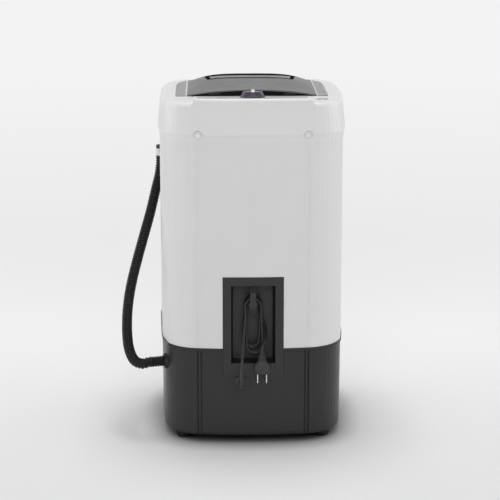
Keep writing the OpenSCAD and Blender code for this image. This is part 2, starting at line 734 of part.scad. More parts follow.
module lid_switch_button() {
    color([0.8, 0.2, 0.15]) translate([switch_x, switch_y, 0]) union() {
        translate([0, 0, button_z0]) cylinder(r = button_r, h = button_top - button_z0 - 1, $fn = 32);
        translate([0, 0, button_top - 1]) cylinder(r = button_r - 0.6, h = 1, $fn = 32);
    }
}

// ---- Outer tub ----
tub_floor_z = z_seam + 43;
seal_r = 18;
seal_flange_r = 24;
spout_r = 9;
spout_bore = 7;
spout_z = tub_floor_z - 18;
tub_flange_r = tub_r + tub_wall + 7;

module outer_tub() {
    color([0.83, 0.84, 0.82]) difference() {
        union() {
            rotate_extrude($fn = 128) polygon([
                [seal_r + 0.1, tub_floor_z], [tub_r - 6, tub_floor_z], [tub_r + tub_wall, tub_floor_z + 9],
                [tub_r + tub_wall, z_band], [tub_flange_r, z_band], [tub_flange_r, z_band + tub_flange_t],
                [tub_r, z_band + tub_flange_t], [tub_r, tub_floor_z + 10], [tub_r - 7, tub_floor_z + tub_wall],
                [seal_r + 0.1, tub_floor_z + tub_wall]]);
            translate([drain_x, drain_y, spout_z]) cylinder(r = spout_r, h = tub_floor_z + 1 - spout_z, $fn = 48);
        }
        translate([drain_x, drain_y, spout_z - 1]) cylinder(r = spout_bore, h = 30, $fn = 48);
    }
}

cover_ring_r = drum_r - 12;

module tub_cover() {
    color([0.83, 0.84, 0.82]) rotate_extrude($fn = 128) polygon([
        [cover_ring_r, z_band + tub_flange_t], [tub_flange_r, z_band + tub_flange_t],
        [tub_flange_r, z_band + tub_flange_t + tub_cover_t], [cover_ring_r, z_band + tub_flange_t + tub_cover_t]]);
}

module shaft_seal() {
    color([0.07, 0.07, 0.07]) rotate_extrude($fn = 72) polygon([
        [shaft_d / 2 + 0.3, tub_floor_z - 6], [seal_r - 5, tub_floor_z - 6], [seal_r, tub_floor_z - 2],
        [seal_r, tub_floor_z + tub_wall], [seal_flange_r, tub_floor_z + tub_wall],
        [seal_flange_r, tub_floor_z + tub_wall + 2], [seal_r - 4, tub_floor_z + tub_wall + 4],
        [seal_r - 7, tub_floor_z + 12], [shaft_d / 2 + 0.3, tub_floor_z + 12]]);
}

// ---- Drum, turning about the machine's upright axis ----
pan_t = 2;
pan_z = z_seam + pan_rise;
rim_h = 6.5;
drum_top = z_band + tub_flange_t - rim_space - rim_h;
rim_gap = 0.1;
hub_r = 12;
hub_flange_r = 36;
dish_r = 50;
dish_w = 10;
drum_mouth_r = drum_r - 13;
hub_nut_z = pan_z + pan_t + 2;
shaft_top = hub_nut_z + 8;
hub_z = tub_floor_z + 18;

module drum_wall() {
    color([0.75, 0.76, 0.77]) difference() {
        tube_z(drum_r, drum_r - drum_t, pan_z + pan_t, drum_top);
        for (row = [1:hole_rows], c = [0:hole_columns - 1])
            rotate([0, 0, 360 / hole_columns * (c + (row % 2) / 2)])
                translate([drum_r - drum_t - 1, 0, pan_z + row * (drum_top - pan_z) / (hole_rows + 1)]) rotate([0, 90, 0])
                    cylinder(r = hole_d / 2, h = drum_t + 2, $fn = 24);
    }
}

module drum_pan() {
    color([0.7, 0.71, 0.72]) rotate_extrude($fn = 128) polygon([
        [hub_r + rim_gap, pan_z], [drum_r + 1.8, pan_z], [drum_r + 1.8, pan_z + 14], [drum_r + rim_gap, pan_z + 14],
        [drum_r + rim_gap, pan_z + pan_t], [dish_r + dish_w, pan_z + pan_t],
        [dish_r, pan_z + pan_t + 2], [dish_r - dish_w, pan_z + pan_t], [hub_r + rim_gap, pan_z + pan_t]]);
}

module drum_rim() {
    color([0.75, 0.76, 0.77]) rotate_extrude($fn = 128) polygon([
        [drum_r + rim_gap, drum_top - 8], [drum_r + 2, drum_top - 8], [drum_r + 2, drum_top + 2],
        [drum_r - 2, drum_top + 6], [drum_mouth_r + 5, drum_top + rim_h], [drum_mouth_r + 1.5, drum_top + 5],
        [drum_mouth_r, drum_top + 2], [drum_mouth_r + 1.5, drum_top + 1], [drum_mouth_r + 4, drum_top + 3],
        [drum_r - 3, drum_top + 3], [drum_r - 1, drum_top], [drum_r + rim_gap, drum_top]]);
}

module drum_hub() {
    color([0.6, 0.6, 0.6]) rotate_extrude($fn = 96) polygon([
        [shaft_d / 2 + run_gap, hub_z], [seal_r, hub_z], [seal_r + 2, hub_z + 5], [hub_flange_r, pan_z - 4], [hub_flange_r, pan_z],
        [hub_r, pan_z], [hub_r, hub_nut_z], [shaft_d / 2 + run_gap, hub_nut_z]]);
}

module hub_nut() {
    color([0.72, 0.6, 0.3]) difference() {
        intersection() {
            translate([0, 0, hub_nut_z]) cylinder(r = 13, h = 12, $fn = 6);
            translate([0, 0, hub_nut_z]) cylinder(r1 = 20, r2 = 9, h = 12, $fn = 48);
        }
        translate([0, 0, hub_nut_z - 1]) cylinder(r = shaft_d / 2 + run_gap, h = shaft_top - hub_nut_z + 1.3, $fn = 48);
    }
}

// ---- Motor, brake and mounts ----
plate_z = 72;
plate_t = 4;
motor_z = plate_z + plate_t;
motor_top = motor_z + motor_h;
nose_h = 8;
mount_r = 13;
mount_z = foot_h + base_floor + 2;
shaft_z = motor_z - 10;

module motor_shaft() {
    color([0.66, 0.66, 0.66]) translate([0, 0, shaft_z]) cylinder(r = shaft_d / 2, h = shaft_top - shaft_z, $fn = 64);
}

module motor() {
    color([0.35, 0.37, 0.4]) difference() {
        union() {
            rotate_extrude($fn = 96) polygon([
                [0, motor_z], [motor_r - 10, motor_z], [motor_r - 3, motor_z + 5], [motor_r - 3, motor_z + 20],
                [motor_r, motor_z + 20], [motor_r, motor_top - 22], [motor_r - 3, motor_top - 22],
                [motor_r - 3, motor_top - 4], [motor_r - 5, motor_top], [22, motor_top],
                [18, motor_top + nose_h], [0, motor_top + nose_h]]);
            for (a = [45:90:315]) rotate([0, 0, a]) translate([motor_r - 5, 0, motor_z])
                cylinder(r = 5, h = motor_h, $fn = 32);
        }
        translate([0, 0, motor_z - 1]) cylinder(r = shaft_d / 2 + run_gap, h = motor_h + nose_h + 2, $fn = 64);
    }
}

module motor_plate() {
    color([0.5, 0.5, 0.52]) difference() {
        union() {
            translate([0, 0, plate_z]) cylinder(r = motor_r + 6, h = plate_t, $fn = 96);
            for (i = [0:2]) rotate([0, 0, 120 * i + 30]) {
                translate([mount_ring_r, 0, plate_z]) cylinder(r = mount_r + 3, h = plate_t, $fn = 48);
            }
        }
        translate([0, 0, plate_z - 1]) cylinder(r = shaft_d, h = plate_t + 2, $fn = 48);
    }
}

module motor_mount(i) {
    color([0.09, 0.09, 0.09]) rotate([0, 0, 120 * i + 30]) translate([mount_ring_r, 0, 0])
        rotate_extrude($fn = 48) polygon([[0, mount_z], [mount_r, mount_z], [mount_r, mount_z + 6],
            [mount_r - 3, mount_z + 12], [mount_r - 3, plate_z - 12], [mount_r, plate_z - 6], [mount_r, plate_z],
            [0, plate_z]]);
}

brake_z = motor_top + 14;
brake_h = 16;
pivot_x = -50;
pivot_y = -24;
pivot_r = 3;
arm_w = 8;
arm_z = brake_z + 2;
arm_h = brake_h - 4;
pad_gap = 3.4;

module brake_drum() {
    color([0.45, 0.45, 0.46]) rotate_extrude($fn = 96) polygon([
        [shaft_d / 2 + run_gap, brake_z], [brake_r - 2, brake_z], [brake_r, brake_z + 2], [brake_r, brake_z + brake_h],
        [brake_r - 5, brake_z + brake_h], [brake_r - 5, brake_z + 5], [16, brake_z + 5],
        [14, brake_z + brake_h + 4], [shaft_d / 2 + run_gap, brake_z + brake_h + 4]]);
}

module brake_arm() {
    color([0.25, 0.26, 0.3]) difference() {
        union() {
            box_at(pivot_x - arm_w / 2, pivot_x + arm_w / 2, pivot_y, -pivot_y, arm_z, arm_z + arm_h);
            box_at(pivot_x, -brake_r - pad_gap, -2, 18, arm_z + 2, arm_z + arm_h - 2);
            translate([pivot_x, pivot_y, arm_z]) cylinder(r = arm_w - 1, h = arm_h, $fn = 48);
        }
        translate([pivot_x, pivot_y, arm_z - 1]) cylinder(r = pivot_r + run_gap, h = arm_h + 2, $fn = 48);
    }
}

module brake_pivot() {
    color([0.7, 0.7, 0.7]) translate([pivot_x, pivot_y, 0]) union() {
        translate([0, 0, motor_top]) cylinder(r = pivot_r + 3, h = arm_z - seat_gap - motor_top, $fn = 48);
        translate([0, 0, motor_top + 1]) cylinder(r = pivot_r, h = arm_z + arm_h - motor_top, $fn = 48);
        translate([0, 0, arm_z + arm_h + seat_gap]) cylinder(r = pivot_r + 2, h = 2, $fn = 48);
    }
}

capacitor_r = 18;
capacitor_h = 78;
capacitor_x = 52.5 - half_w;
capacitor_y = -20;
terminal_x = 6;
terminal_w = 4;
terminal_t = 1;
terminal_h = 8;

module capacitor() {
    color([0.85, 0.85, 0.82]) translate([capacitor_x, capacitor_y, foot_h + base_floor]) {
        cylinder(r = capacitor_r, h = capacitor_h, $fn = 64);
        for (sx = [-1, 1]) translate([sx * terminal_x - terminal_w / 2, -terminal_t / 2, capacitor_h - 1])
            cube([terminal_w, terminal_t, terminal_h + 1]);
    }
}

// ---- Drain ----
elbow_r = spout_r + 2;
elbow_bore = spout_r + 0.2;
branch_r = nozzle_r + 2.6;
branch_bore = nozzle_r + 0.2;
branch_end = corner_r + base_in - 4;

module drain_elbow() {
    color([0.1, 0.1, 0.1]) difference() {
        union() {
            translate([drain_x, drain_y, outlet_z - elbow_r])
                cylinder(r = elbow_r, h = tub_floor_z - 4 - outlet_z + elbow_r, $fn = 48);
            outlet_rod(branch_r, drain_rho, branch_end);
        }
        translate([drain_x, drain_y, outlet_z]) cylinder(r = elbow_bore, h = tub_floor_z - outlet_z, $fn = 48);
        outlet_rod(branch_bore, drain_rho, branch_end + 1);
    }
}

module hose_outlet() {
    color([0.12, 0.12, 0.12]) difference() {
        union() {
            outlet_rod(nozzle_r, branch_end - 6, hose_start + nozzle_len);
            outlet_rod(nozzle_flange_r, outlet_rho, outlet_rho + nozzle_flange_t);
        }
        outlet_rod(nozzle_bore, branch_end - 8, hose_start + nozzle_len + 2);
    }
}

// ---- Routes of the hose and the cord ----
function spline(p, i, t) = let (a = p[max(0, i - 1)], b = p[i], c = p[i + 1], d = p[min(len(p) - 1, i + 2)])
    0.5 * (2 * b + (c - a) * t + (2 * a - 5 * b + 4 * c - d) * t * t + (3 * b - a - 3 * c + d) * t * t * t);
route_steps = 12;
function dense(p) = concat([for (i = [0:len(p) - 2], k = [0:route_steps - 1]) spline(p, i, k / route_steps)],
    [p[len(p) - 1]]);
function lengths(q, i = 0, sum = 0, out = []) = i >= len(q) ? out
    : let (s = sum + (i > 0 ? norm(q[i] - q[i - 1]) : 0)) lengths(q, i + 1, s, concat(out, [s]));
function at(q, l, s) = [for (k = [0:2]) lookup(s, [for (i = [0:len(q) - 1]) [l[i], q[i][k]]])];
function unit(v) = v / norm(v);
function tangent(c, i) = unit(c[min(len(c) - 1, i + 1)] - c[max(0, i - 1)]);

// Rings of points round a centre line; side is a direction that the line never runs along
function rings(c, r, sides, side) = [for (i = [0:len(c) - 1])
    let (t = tangent(c, i), n = unit(cross(side, t)), b = cross(t, n))
    [for (k = [0:sides - 1]) c[i] + r[i] * (cos(360 * k / sides) * n + sin(360 * k / sides) * b)]];

function band(m, i, base, flip) = [for (k = [0:m - 1]) let (a = base + i * m + k, b = base + i * m + (k + 1) % m)
    each (flip ? [[a, b + m, b], [a, a + m, b + m]] : [[a, b, b + m], [a, b + m, a + m]])];

// Solid tube through its rings, closed by a flat fan at both ends
module swept(c, radius, sides, side) {
    g = rings(c, [for (i = c) radius], sides, side);
    last = (len(g) - 1) * sides;
    polyhedron([for (r = g, p = r) p], concat([for (i = [0:len(g) - 2]) each band(sides, i, 0, true)],
        [for (k = [1:sides - 2]) [0, k, k + 1]], [for (k = [1:sides - 2]) [last, last + k + 1, last + k]]));
}

// Centre line through chosen points, in n equal steps
function route(p, n) = let (q = dense(p), l = lengths(q)) [for (i = [0:n]) at(q, l, l[len(l) - 1] * i / n)];

// Least distance between parts of a line that are more than skip steps apart
function least_gap(c, skip, d) = min([for (i = [0:len(c) - 1], j = [i + skip:1:len(c) - 1]) norm(c[i] - c[j])]) - d;

// Drain hose: from the outlet round the corner and up the side
hose_dir = [cos(flat_angle), sin(flat_angle), 0];
hose_p0 = [corner_c, corner_c, outlet_z] + hose_start * hose_dir;
hose_way = [[35.5, 119, 141], [50.5, 111, 146], [60.5, 94, 163], [64.5, 74, 187], [65, 52, 216], [62, 30, 246],
    [55.5, 6, 278], [45.5, -20, 314], [34, -48, 352], [22.5, -75, 390], [13.5, -95, 425]];
hose_stand = [[6, 7, 454], [2, 0, 480], [1.5, 0, 498], [1.5, 0, 516]];
stand_y = -corner_c - 26.85;
hose_points = concat([for (d = [0, 10, 20, 28]) hose_p0 + d * hose_dir],
    [for (p = hose_way) [half_w + p.x, p.y, p.z]], [for (p = hose_stand) [half_w + p.x, stand_y + p.y, p.z]]);
hose_q = dense(hose_points);
hose_l = lengths(hose_q);
hose_len = hose_l[len(hose_l) - 1];
hose_facing = [0, 1, 0.3];
hose_sides = 8;
hose_fit = cos(180 / hose_sides);
rib_h = 1.5;
collar_len = 14;
tip_len = 6;

module drain_hose() {
    run = hose_len - tip_len;
    ribs = floor((run - collar_len) / rib_pitch);
    pitch = (run - collar_len) / ribs;
    s_out = concat([for (i = [0:ribs - 1], e = [0.08, 0.55]) (i + e) * pitch], [run - collar_len, run]);
    r_out = concat([for (i = [0:ribs - 1]) each [hose_d / 2, hose_d / 2 - rib_h]],
        [hose_d / 2 - rib_h, hose_d / 2 - rib_h]);
    bore_steps = 50;
    outer = rings([for (s = concat([0], s_out)) at(hose_q, hose_l, s)], concat([hose_d / 2], r_out),
        hose_sides, hose_facing);
    inner = rings([for (i = [0:bore_steps]) at(hose_q, hose_l, run * i / bore_steps)],
        [for (i = [0:bore_steps]) hose_bore / 2 / hose_fit], hose_sides, hose_facing);
    n = len(outer);
    base = n * hose_sides;
    end_out = (n - 1) * hose_sides;
    end_in = base + bore_steps * hose_sides;
    echo(hose_length = hose_len, hose_ribs = ribs, hose_gap = least_gap([for (r = outer) r[0] / 2 + r[4] / 2], 24, hose_d));
    color([0.13, 0.13, 0.13]) polyhedron(concat([for (r = outer, p = r) p], [for (r = inner, p = r) p]), concat(
        [for (i = [0:n - 2]) each band(hose_sides, i, 0, true)],
        [for (i = [0:bore_steps - 1]) each band(hose_sides, i, base, false)],
        [for (k = [0:hose_sides - 1]) let (j = (k + 1) % hose_sides) each [[k, j, base + j], [k, base + j, base + k],
            [end_out + k, end_in + j, end_out + j], [end_out + k, end_in + k, end_in + j]]]));
}

// Straight sleeves on the hose's end, which stands upright
hose_end = hose_points[len(hose_points) - 1];

module hose_collar() {
    color([0.85, 0.85, 0.85]) translate([hose_end.x, hose_end.y, 0]) difference() {
        translate([0, 0, hose_end.z - tip_len - collar_len]) cylinder(r = hose_d / 2, h = collar_len, $fn = 48);
        translate([0, 0, hose_end.z - 40]) cylinder(r = hose_d / 2 - rib_h + 0.1, h = 60, $fn = 48);
    }
}

module hose_tip() {
    color([0.08, 0.08, 0.08]) translate([hose_end.x, hose_end.y, 0]) difference() {
        translate([0, 0, hose_end.z - tip_len]) cylinder(r = hose_d / 2 - 0.5, h = tip_len, $fn = 48);
        translate([0, 0, hose_end.z - tip_len - 1]) cylinder(r = hose_bore / 2, h = 60, $fn = 48);
    }
}

clip_w = 8;
clip_wall = 2;
clip_open = 3;
clip_arm = 4;
clip_turn = atan2(hose_end.y + corner_c, hose_end.x - corner_c);
clip_z = hose_end.z - tip_len - collar_len - 6 - clip_w;

// ---- Cord ----
cord_r = cord_d / 2;
peg_inner_y = half_w - pocket_depth;
loop_r = 14.4;
loop_top = 264;
loop_bottom = 190;
loop_pitch = cord_d + 0.6;
first_y = peg_inner_y + 4;
peg_z = loop_top + loop_r - cord_r - 0.3 - peg_r;
hook_top = pocket_z + pocket_h - 1;
hook_low = loop_top - 12;
hook_head_r = 6.5;
hook_t = 3;
last_y = first_y + loop_pitch * cord_loops;
loop_rings = 24;

// One turn of the hank: over the top, down, round the bottom and up, drifting along the peg
function even(k) = floor(k / loop_rings) % 2 == 0;
function sag(k) = even(k) ? 2 : -8;
function swing(k) = even(k) ? -3 : 3;
function hank_at(k) = let (p = k % loop_rings, y = first_y + loop_pitch * (hank_end - k) / loop_rings)
    p <= 8 ? [loop_r * cos(22.5 * p), y, loop_top + loop_r * sin(22.5 * p)]
    : p <= 12 ? [swing(k) * (p - 8) / 4 - loop_r, y, loop_top - (loop_top - loop_bottom + sag(k)) * (p - 8) / 4]
    : p <= 20 ? [swing(k) - loop_r * cos(22.5 * (p - 12)), y,
        loop_bottom - sag(k) - loop_r * sin(22.5 * (p - 12))]
    : [loop_r + swing(k) * (24 - p) / 4, y, loop_bottom - sag(k) + (loop_top - loop_bottom + sag(k)) * (p - 20) / 4];
hank_end = loop_rings * (cord_loops - 1) + 9;
front_y = hank_at(0).y;
hank_line = concat([[loop_r, front_y, loop_top - 12], [loop_r, front_y, loop_top - 6]],
    [for (k = [0:hank_end]) hank_at(k)]);

gland_out = 20;
gland_y = rear_y(gland_x, base_off + 0.8);
gland_tip = gland_y + gland_out;
lead_end = hank_line[0];
lead_points = [[gland_x, gland_tip, gland_z], [gland_x, 197, gland_z], [gland_x, 207, 120], [gland_x, 216, 120],
    [24, 224, 126], [23.5, 226, 136], [23, 223, 147], [22, 215, 160], [21, 205, 175], [19.5, 194, 191],
    [18, 183, 207], [16.5, 173, 223], [15, 167, 236], [loop_r, front_y, 246], lead_end];
tail_start = hank_line[len(hank_line) - 1];
plug_x = -16;
plug_y = half_w + 11;
relief_len = 19;
plug_h = 25;
plug_z = 165;
tail_points = [tail_start, tail_start + 5 * unit(tail_start - hank_line[len(hank_line) - 2]), [-18.5, 141, 231],
    [-22.5, 146, 222], [-23.5, 155, 213], [-23, 166, 205], [-20, 176, 199], [plug_x - 0.8, plug_y - 1.5, 192.5],
    [plug_x, plug_y, plug_z + relief_len + 4], [plug_x, plug_y, plug_z + relief_len + 2],
    [plug_x, plug_y, plug_z + relief_len + 0.2]];
blade_len = 17;
blade_gap = 16.4;

module cord_hank() {
    echo(hank_gap = least_gap(hank_line, 4, cord_d), hank_length = max(lengths(hank_line)));
    color([0.1, 0.1, 0.1]) swept(hank_line, cord_r, 6, [0, 1, 0.02]);
}

module cord_lead() {
    echo(lead_length = max(lengths(dense(lead_points))));
    color([0.1, 0.1, 0.1]) swept(route(lead_points, 40), cord_r, 8, [1, 0, 0]);
}

module cord_tail() {
    color([0.1, 0.1, 0.1]) swept(route(tail_points, 14), cord_r, 8, [1, 0, 0]);
}

// Tapered gland, clipped in the housing's hole and drawn out along the cord
module cord_gland() {
    color([0.08, 0.08, 0.08]) translate([gland_x, gland_y, gland_z]) rotate([-90, 0, 0]) rotate_extrude($fn = 48)
        polygon([[0, -8], [gland_hole_r + 1.5, -8], [gland_hole_r + 1.5, -5.5], [gland_hole_r - 0.1, -5.5],
            [gland_hole_r - 0.1, 0.3], [gland_hole_r + 2, 0.3], [gland_hole_r + 2, 2], [gland_hole_r - 2, 3],
            [cord_r + 1, gland_out - 0.1], [0, gland_out - 0.1]]);
}

module plug_body() {
    color([0.07, 0.07, 0.07]) translate([plug_x, plug_y, 0]) union() {
        translate([0, 0, plug_z]) cylinder(r1 = 5, r2 = cord_r + 0.8, h = relief_len - 0.1, $fn = 32);
        intersection() {
            translate([0, 8, 0]) rotate([90, 0, 0]) linear_extrude(16) polygon([[-13, plug_z - plug_h],
                [13, plug_z - plug_h], [14.5, plug_z - plug_h + 2], [14.5, plug_z - 12], [8, plug_z - 2],
                [6, plug_z + 0.5], [-6, plug_z + 0.5], [-8, plug_z - 2], [-14.5, plug_z - 12],
                [-14.5, plug_z - plug_h + 2]]);
            translate([-20, 0, 0]) rotate([90, 0, 90]) linear_extrude(40) polygon([[-7, plug_z - plug_h],
                [7, plug_z - plug_h], [8, plug_z - plug_h + 2], [8, plug_z - 12], [5.5, plug_z + 0.5],
                [-5.5, plug_z + 0.5], [-8, plug_z - 12], [-8, plug_z - plug_h + 2]]);
        }
    }
}

module plug_blades() {
    color([0.8, 0.75, 0.55]) for (sx = [-1, 1]) translate([plug_x + sx * blade_gap / 2, plug_y, plug_z - plug_h - blade_len])
        box_at(-0.8, 0.8, -3.1, 3.1, 0, blade_len);
}

// ---- Cord bay ----
bay_lip = 5;
bay_r = 3;

module round_box(x, z0, z1, r, y0, y1) {
    translate([0, y1, 0]) rotate([90, 0, 0]) linear_extrude(y1 - y0) union() {
        translate([-x + r, z0]) square([2 * x - 2 * r, z1 - z0]);
        translate([-x, z0 + r]) square([2 * x, z1 - z0 - 2 * r]);
        for (sx = [-1, 1], z = [z0 + r, z1 - r]) translate([sx * (x - r), z]) circle(r = r, $fn = 32);
    }
}

// The pocket's space, grown by grow and open at y1; it narrows towards its back
module pocket_form(grow, y1) {
    slope = pocket_draft / pocket_depth;
    y0 = peg_inner_y - grow;
    back = pocket_w / 2 + grow - slope * (half_w - y0);
    front = pocket_w / 2 + grow + slope * (y1 - half_w);
    translate([0, 0, pocket_z - grow]) linear_extrude(pocket_h + 2 * grow)
        polygon([[-back, y0], [back, y0], [front, y1], [-front, y1]]);
}

module cord_bay() {
    color([0.2, 0.2, 0.2]) difference() {
        union() {
            intersection() {
                difference() {
                    slab(1, bay_z, bay_z + bay_h);
                    slab(1 - bay_plate_t, bay_z - 1, bay_z + bay_h + 1);
                }
                round_box(bay_w / 2, bay_z, bay_z + bay_h, bay_r, half_w / 2, half_w + 9);
            }
            intersection() {
                difference() {
                    slab(-sheet_t - 0.1, z_seam + 4, bay_z + bay_h + bay_lip);
                    slab(-sheet_t - 2, 0, z_cap);
                }
                box_at(-bay_w / 2 - bay_lip, bay_w / 2 + bay_lip, half_w / 2, half_w, 0, z_cap);
            }
            intersection() {
                pocket_form(pocket_wall, half_w + 5);
                slab(0.5, 0, z_cap);
            }
        }
        pocket_form(0, half_w + 20);
    }
}

// Hook on the bay's back wall: a round peg with an upright tongue at its front
module cord_hook() {
    color([0.16, 0.16, 0.16]) union() {
        box_at(-14, 14, peg_inner_y, peg_inner_y + 1.2, peg_z - 14, peg_z + 14);
        rod_y([0, peg_inner_y, peg_z], peg_r, last_y - peg_inner_y + 1);
        box_at(1 - hook_head_r, hook_head_r - 1, last_y, last_y + hook_t, hook_low, hook_top - hook_head_r);
        rod_y([0, last_y, hook_top - hook_head_r], hook_head_r, hook_t + 1);
    }
}

// Open clip on the side that holds the hose's free end
module hose_clip() {
    color([0.1, 0.1, 0.1]) difference() {
        union() {
            translate([hose_end.x, hose_end.y, clip_z]) cylinder(r = hose_d / 2 + clip_wall, h = clip_w, $fn = 48);
            translate([hose_end.x, hose_end.y, 0]) rotate([0, 0, clip_turn])
                box_at(-hose_d, 0, -clip_arm, clip_arm, clip_z, clip_z + clip_w);
            intersection() {
                box_at(hose_end.x - 24, hose_end.x, hose_end.y - 14, hose_end.y + 14, clip_z, clip_z + clip_w);
                difference() {
                    slab(clip_wall + 0.2, clip_z, clip_z + clip_w);
                    slab(0, clip_z - 1, clip_z + clip_w + 1);
                }
            }
        }
        box_at(hose_end.x + clip_open, hose_end.x + hose_d, hose_end.y - hose_d, hose_end.y + hose_d,
            clip_z - 1, clip_z + clip_w + 1);
        translate([hose_end.x, hose_end.y, clip_z - 1]) cylinder(r = hose_d / 2 + 0.3, h = clip_w + 2, $fn = 48);
        slab(0, clip_z - 1, clip_z + clip_w + 1);
    }
}

// Small plate on the side, over the base
side_plate_y = 50;
side_plate_w = 18;
side_plate_z0 = z_seam + 10;
side_plate_z1 = z_seam + 39;
side_plate_t = 2.4;

module side_plate() {
    color([0.6, 0.6, 0.6]) {
        intersection() {
            ring(side_plate_t - 0.8, seat_gap, side_plate_z0, side_plate_z1);
            box_at(half_w / 2, half_w + 20, side_plate_y - side_plate_w / 2, side_plate_y + side_plate_w / 2,
                side_plate_z0, side_plate_z1);
        }
        intersection() {
            ring(side_plate_t, seat_gap, side_plate_z0 + 1.5, side_plate_z1 - 1.5);
            box_at(half_w / 2, half_w + 20, side_plate_y - side_plate_w / 2 + 1.5,
                side_plate_y + side_plate_w / 2 - 1.5, side_plate_z0 + 1.5, side_plate_z1 - 1.5);
        }
    }
}

base_housing();
bottom_cover();
foot(0);  // foot_1
foot(1);  // foot_2
foot(2);  // foot_3
foot(3);  // foot_4
foot_screws();
cabinet_shell();
upper_frame();
top_cap();
console_panel();
case_screws();
cord_bay();
cord_hook();
cord_gland();
cord_lead();
cord_hank();
cord_tail();
plug_body();
plug_blades();
outer_lid();
lid_window();
inner_lid();
hinge_pins();
hinge_rail();
timer_knob();
timer_shaft();
timer_body();
lid_switch();
lid_switch_button();
outer_tub();
tub_cover();
shaft_seal();
drum_wall();
drum_pan();
drum_rim();
drum_hub();
hub_nut();
motor_shaft();
motor();
motor_plate();
motor_mount(0);  // motor_mount_1
motor_mount(1);  // motor_mount_2
motor_mount(2);  // motor_mount_3
brake_drum();
brake_arm();
brake_pivot();
capacitor();
drain_elbow();
hose_outlet();
drain_hose();
hose_collar();
hose_tip();
hose_clip();
side_plate();
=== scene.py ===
import bpy, bmesh, math
from mathutils import Matrix, Vector


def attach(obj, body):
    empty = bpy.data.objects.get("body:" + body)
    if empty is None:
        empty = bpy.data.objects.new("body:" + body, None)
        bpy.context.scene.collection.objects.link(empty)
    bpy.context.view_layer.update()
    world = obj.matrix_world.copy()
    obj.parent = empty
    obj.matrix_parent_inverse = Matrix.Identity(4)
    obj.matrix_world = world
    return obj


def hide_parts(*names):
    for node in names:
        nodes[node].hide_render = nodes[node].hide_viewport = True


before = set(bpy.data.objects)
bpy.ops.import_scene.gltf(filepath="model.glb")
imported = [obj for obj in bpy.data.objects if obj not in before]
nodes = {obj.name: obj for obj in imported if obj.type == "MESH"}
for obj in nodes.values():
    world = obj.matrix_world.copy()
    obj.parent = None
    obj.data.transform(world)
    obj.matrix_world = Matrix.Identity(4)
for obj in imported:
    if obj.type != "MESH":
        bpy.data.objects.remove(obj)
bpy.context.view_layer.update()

scene = bpy.context.scene

# ---------------------------------------------------------------- camera
cam_data = bpy.data.cameras.new("camera")
cam = bpy.data.objects.new("camera", cam_data)
scene.collection.objects.link(cam)
scene.camera = cam
DIST, SIDE, CAM_Z, YAW, PITCH, LENS = 3.2, 0.0017, 1.108, 0.025, 0.2382, 123.1
cam.location = (SIDE * math.cos(YAW) + DIST * math.sin(YAW), DIST * math.cos(YAW) - SIDE * math.sin(YAW), CAM_Z)
aim = Vector((-math.sin(YAW) * math.cos(PITCH), -math.cos(YAW) * math.cos(PITCH), -math.sin(PITCH)))
cam.rotation_mode = "QUATERNION"
cam.rotation_quaternion = aim.to_track_quat("-Z", "Y")
cam_data.lens = LENS
cam_data.sensor_width = 36
cam_data.clip_start, cam_data.clip_end = 0.1, 60


# ---------------------------------------------------------------- node helpers
def link(obj, body):
    scene.collection.objects.link(obj)
    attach(obj, body)
    return obj


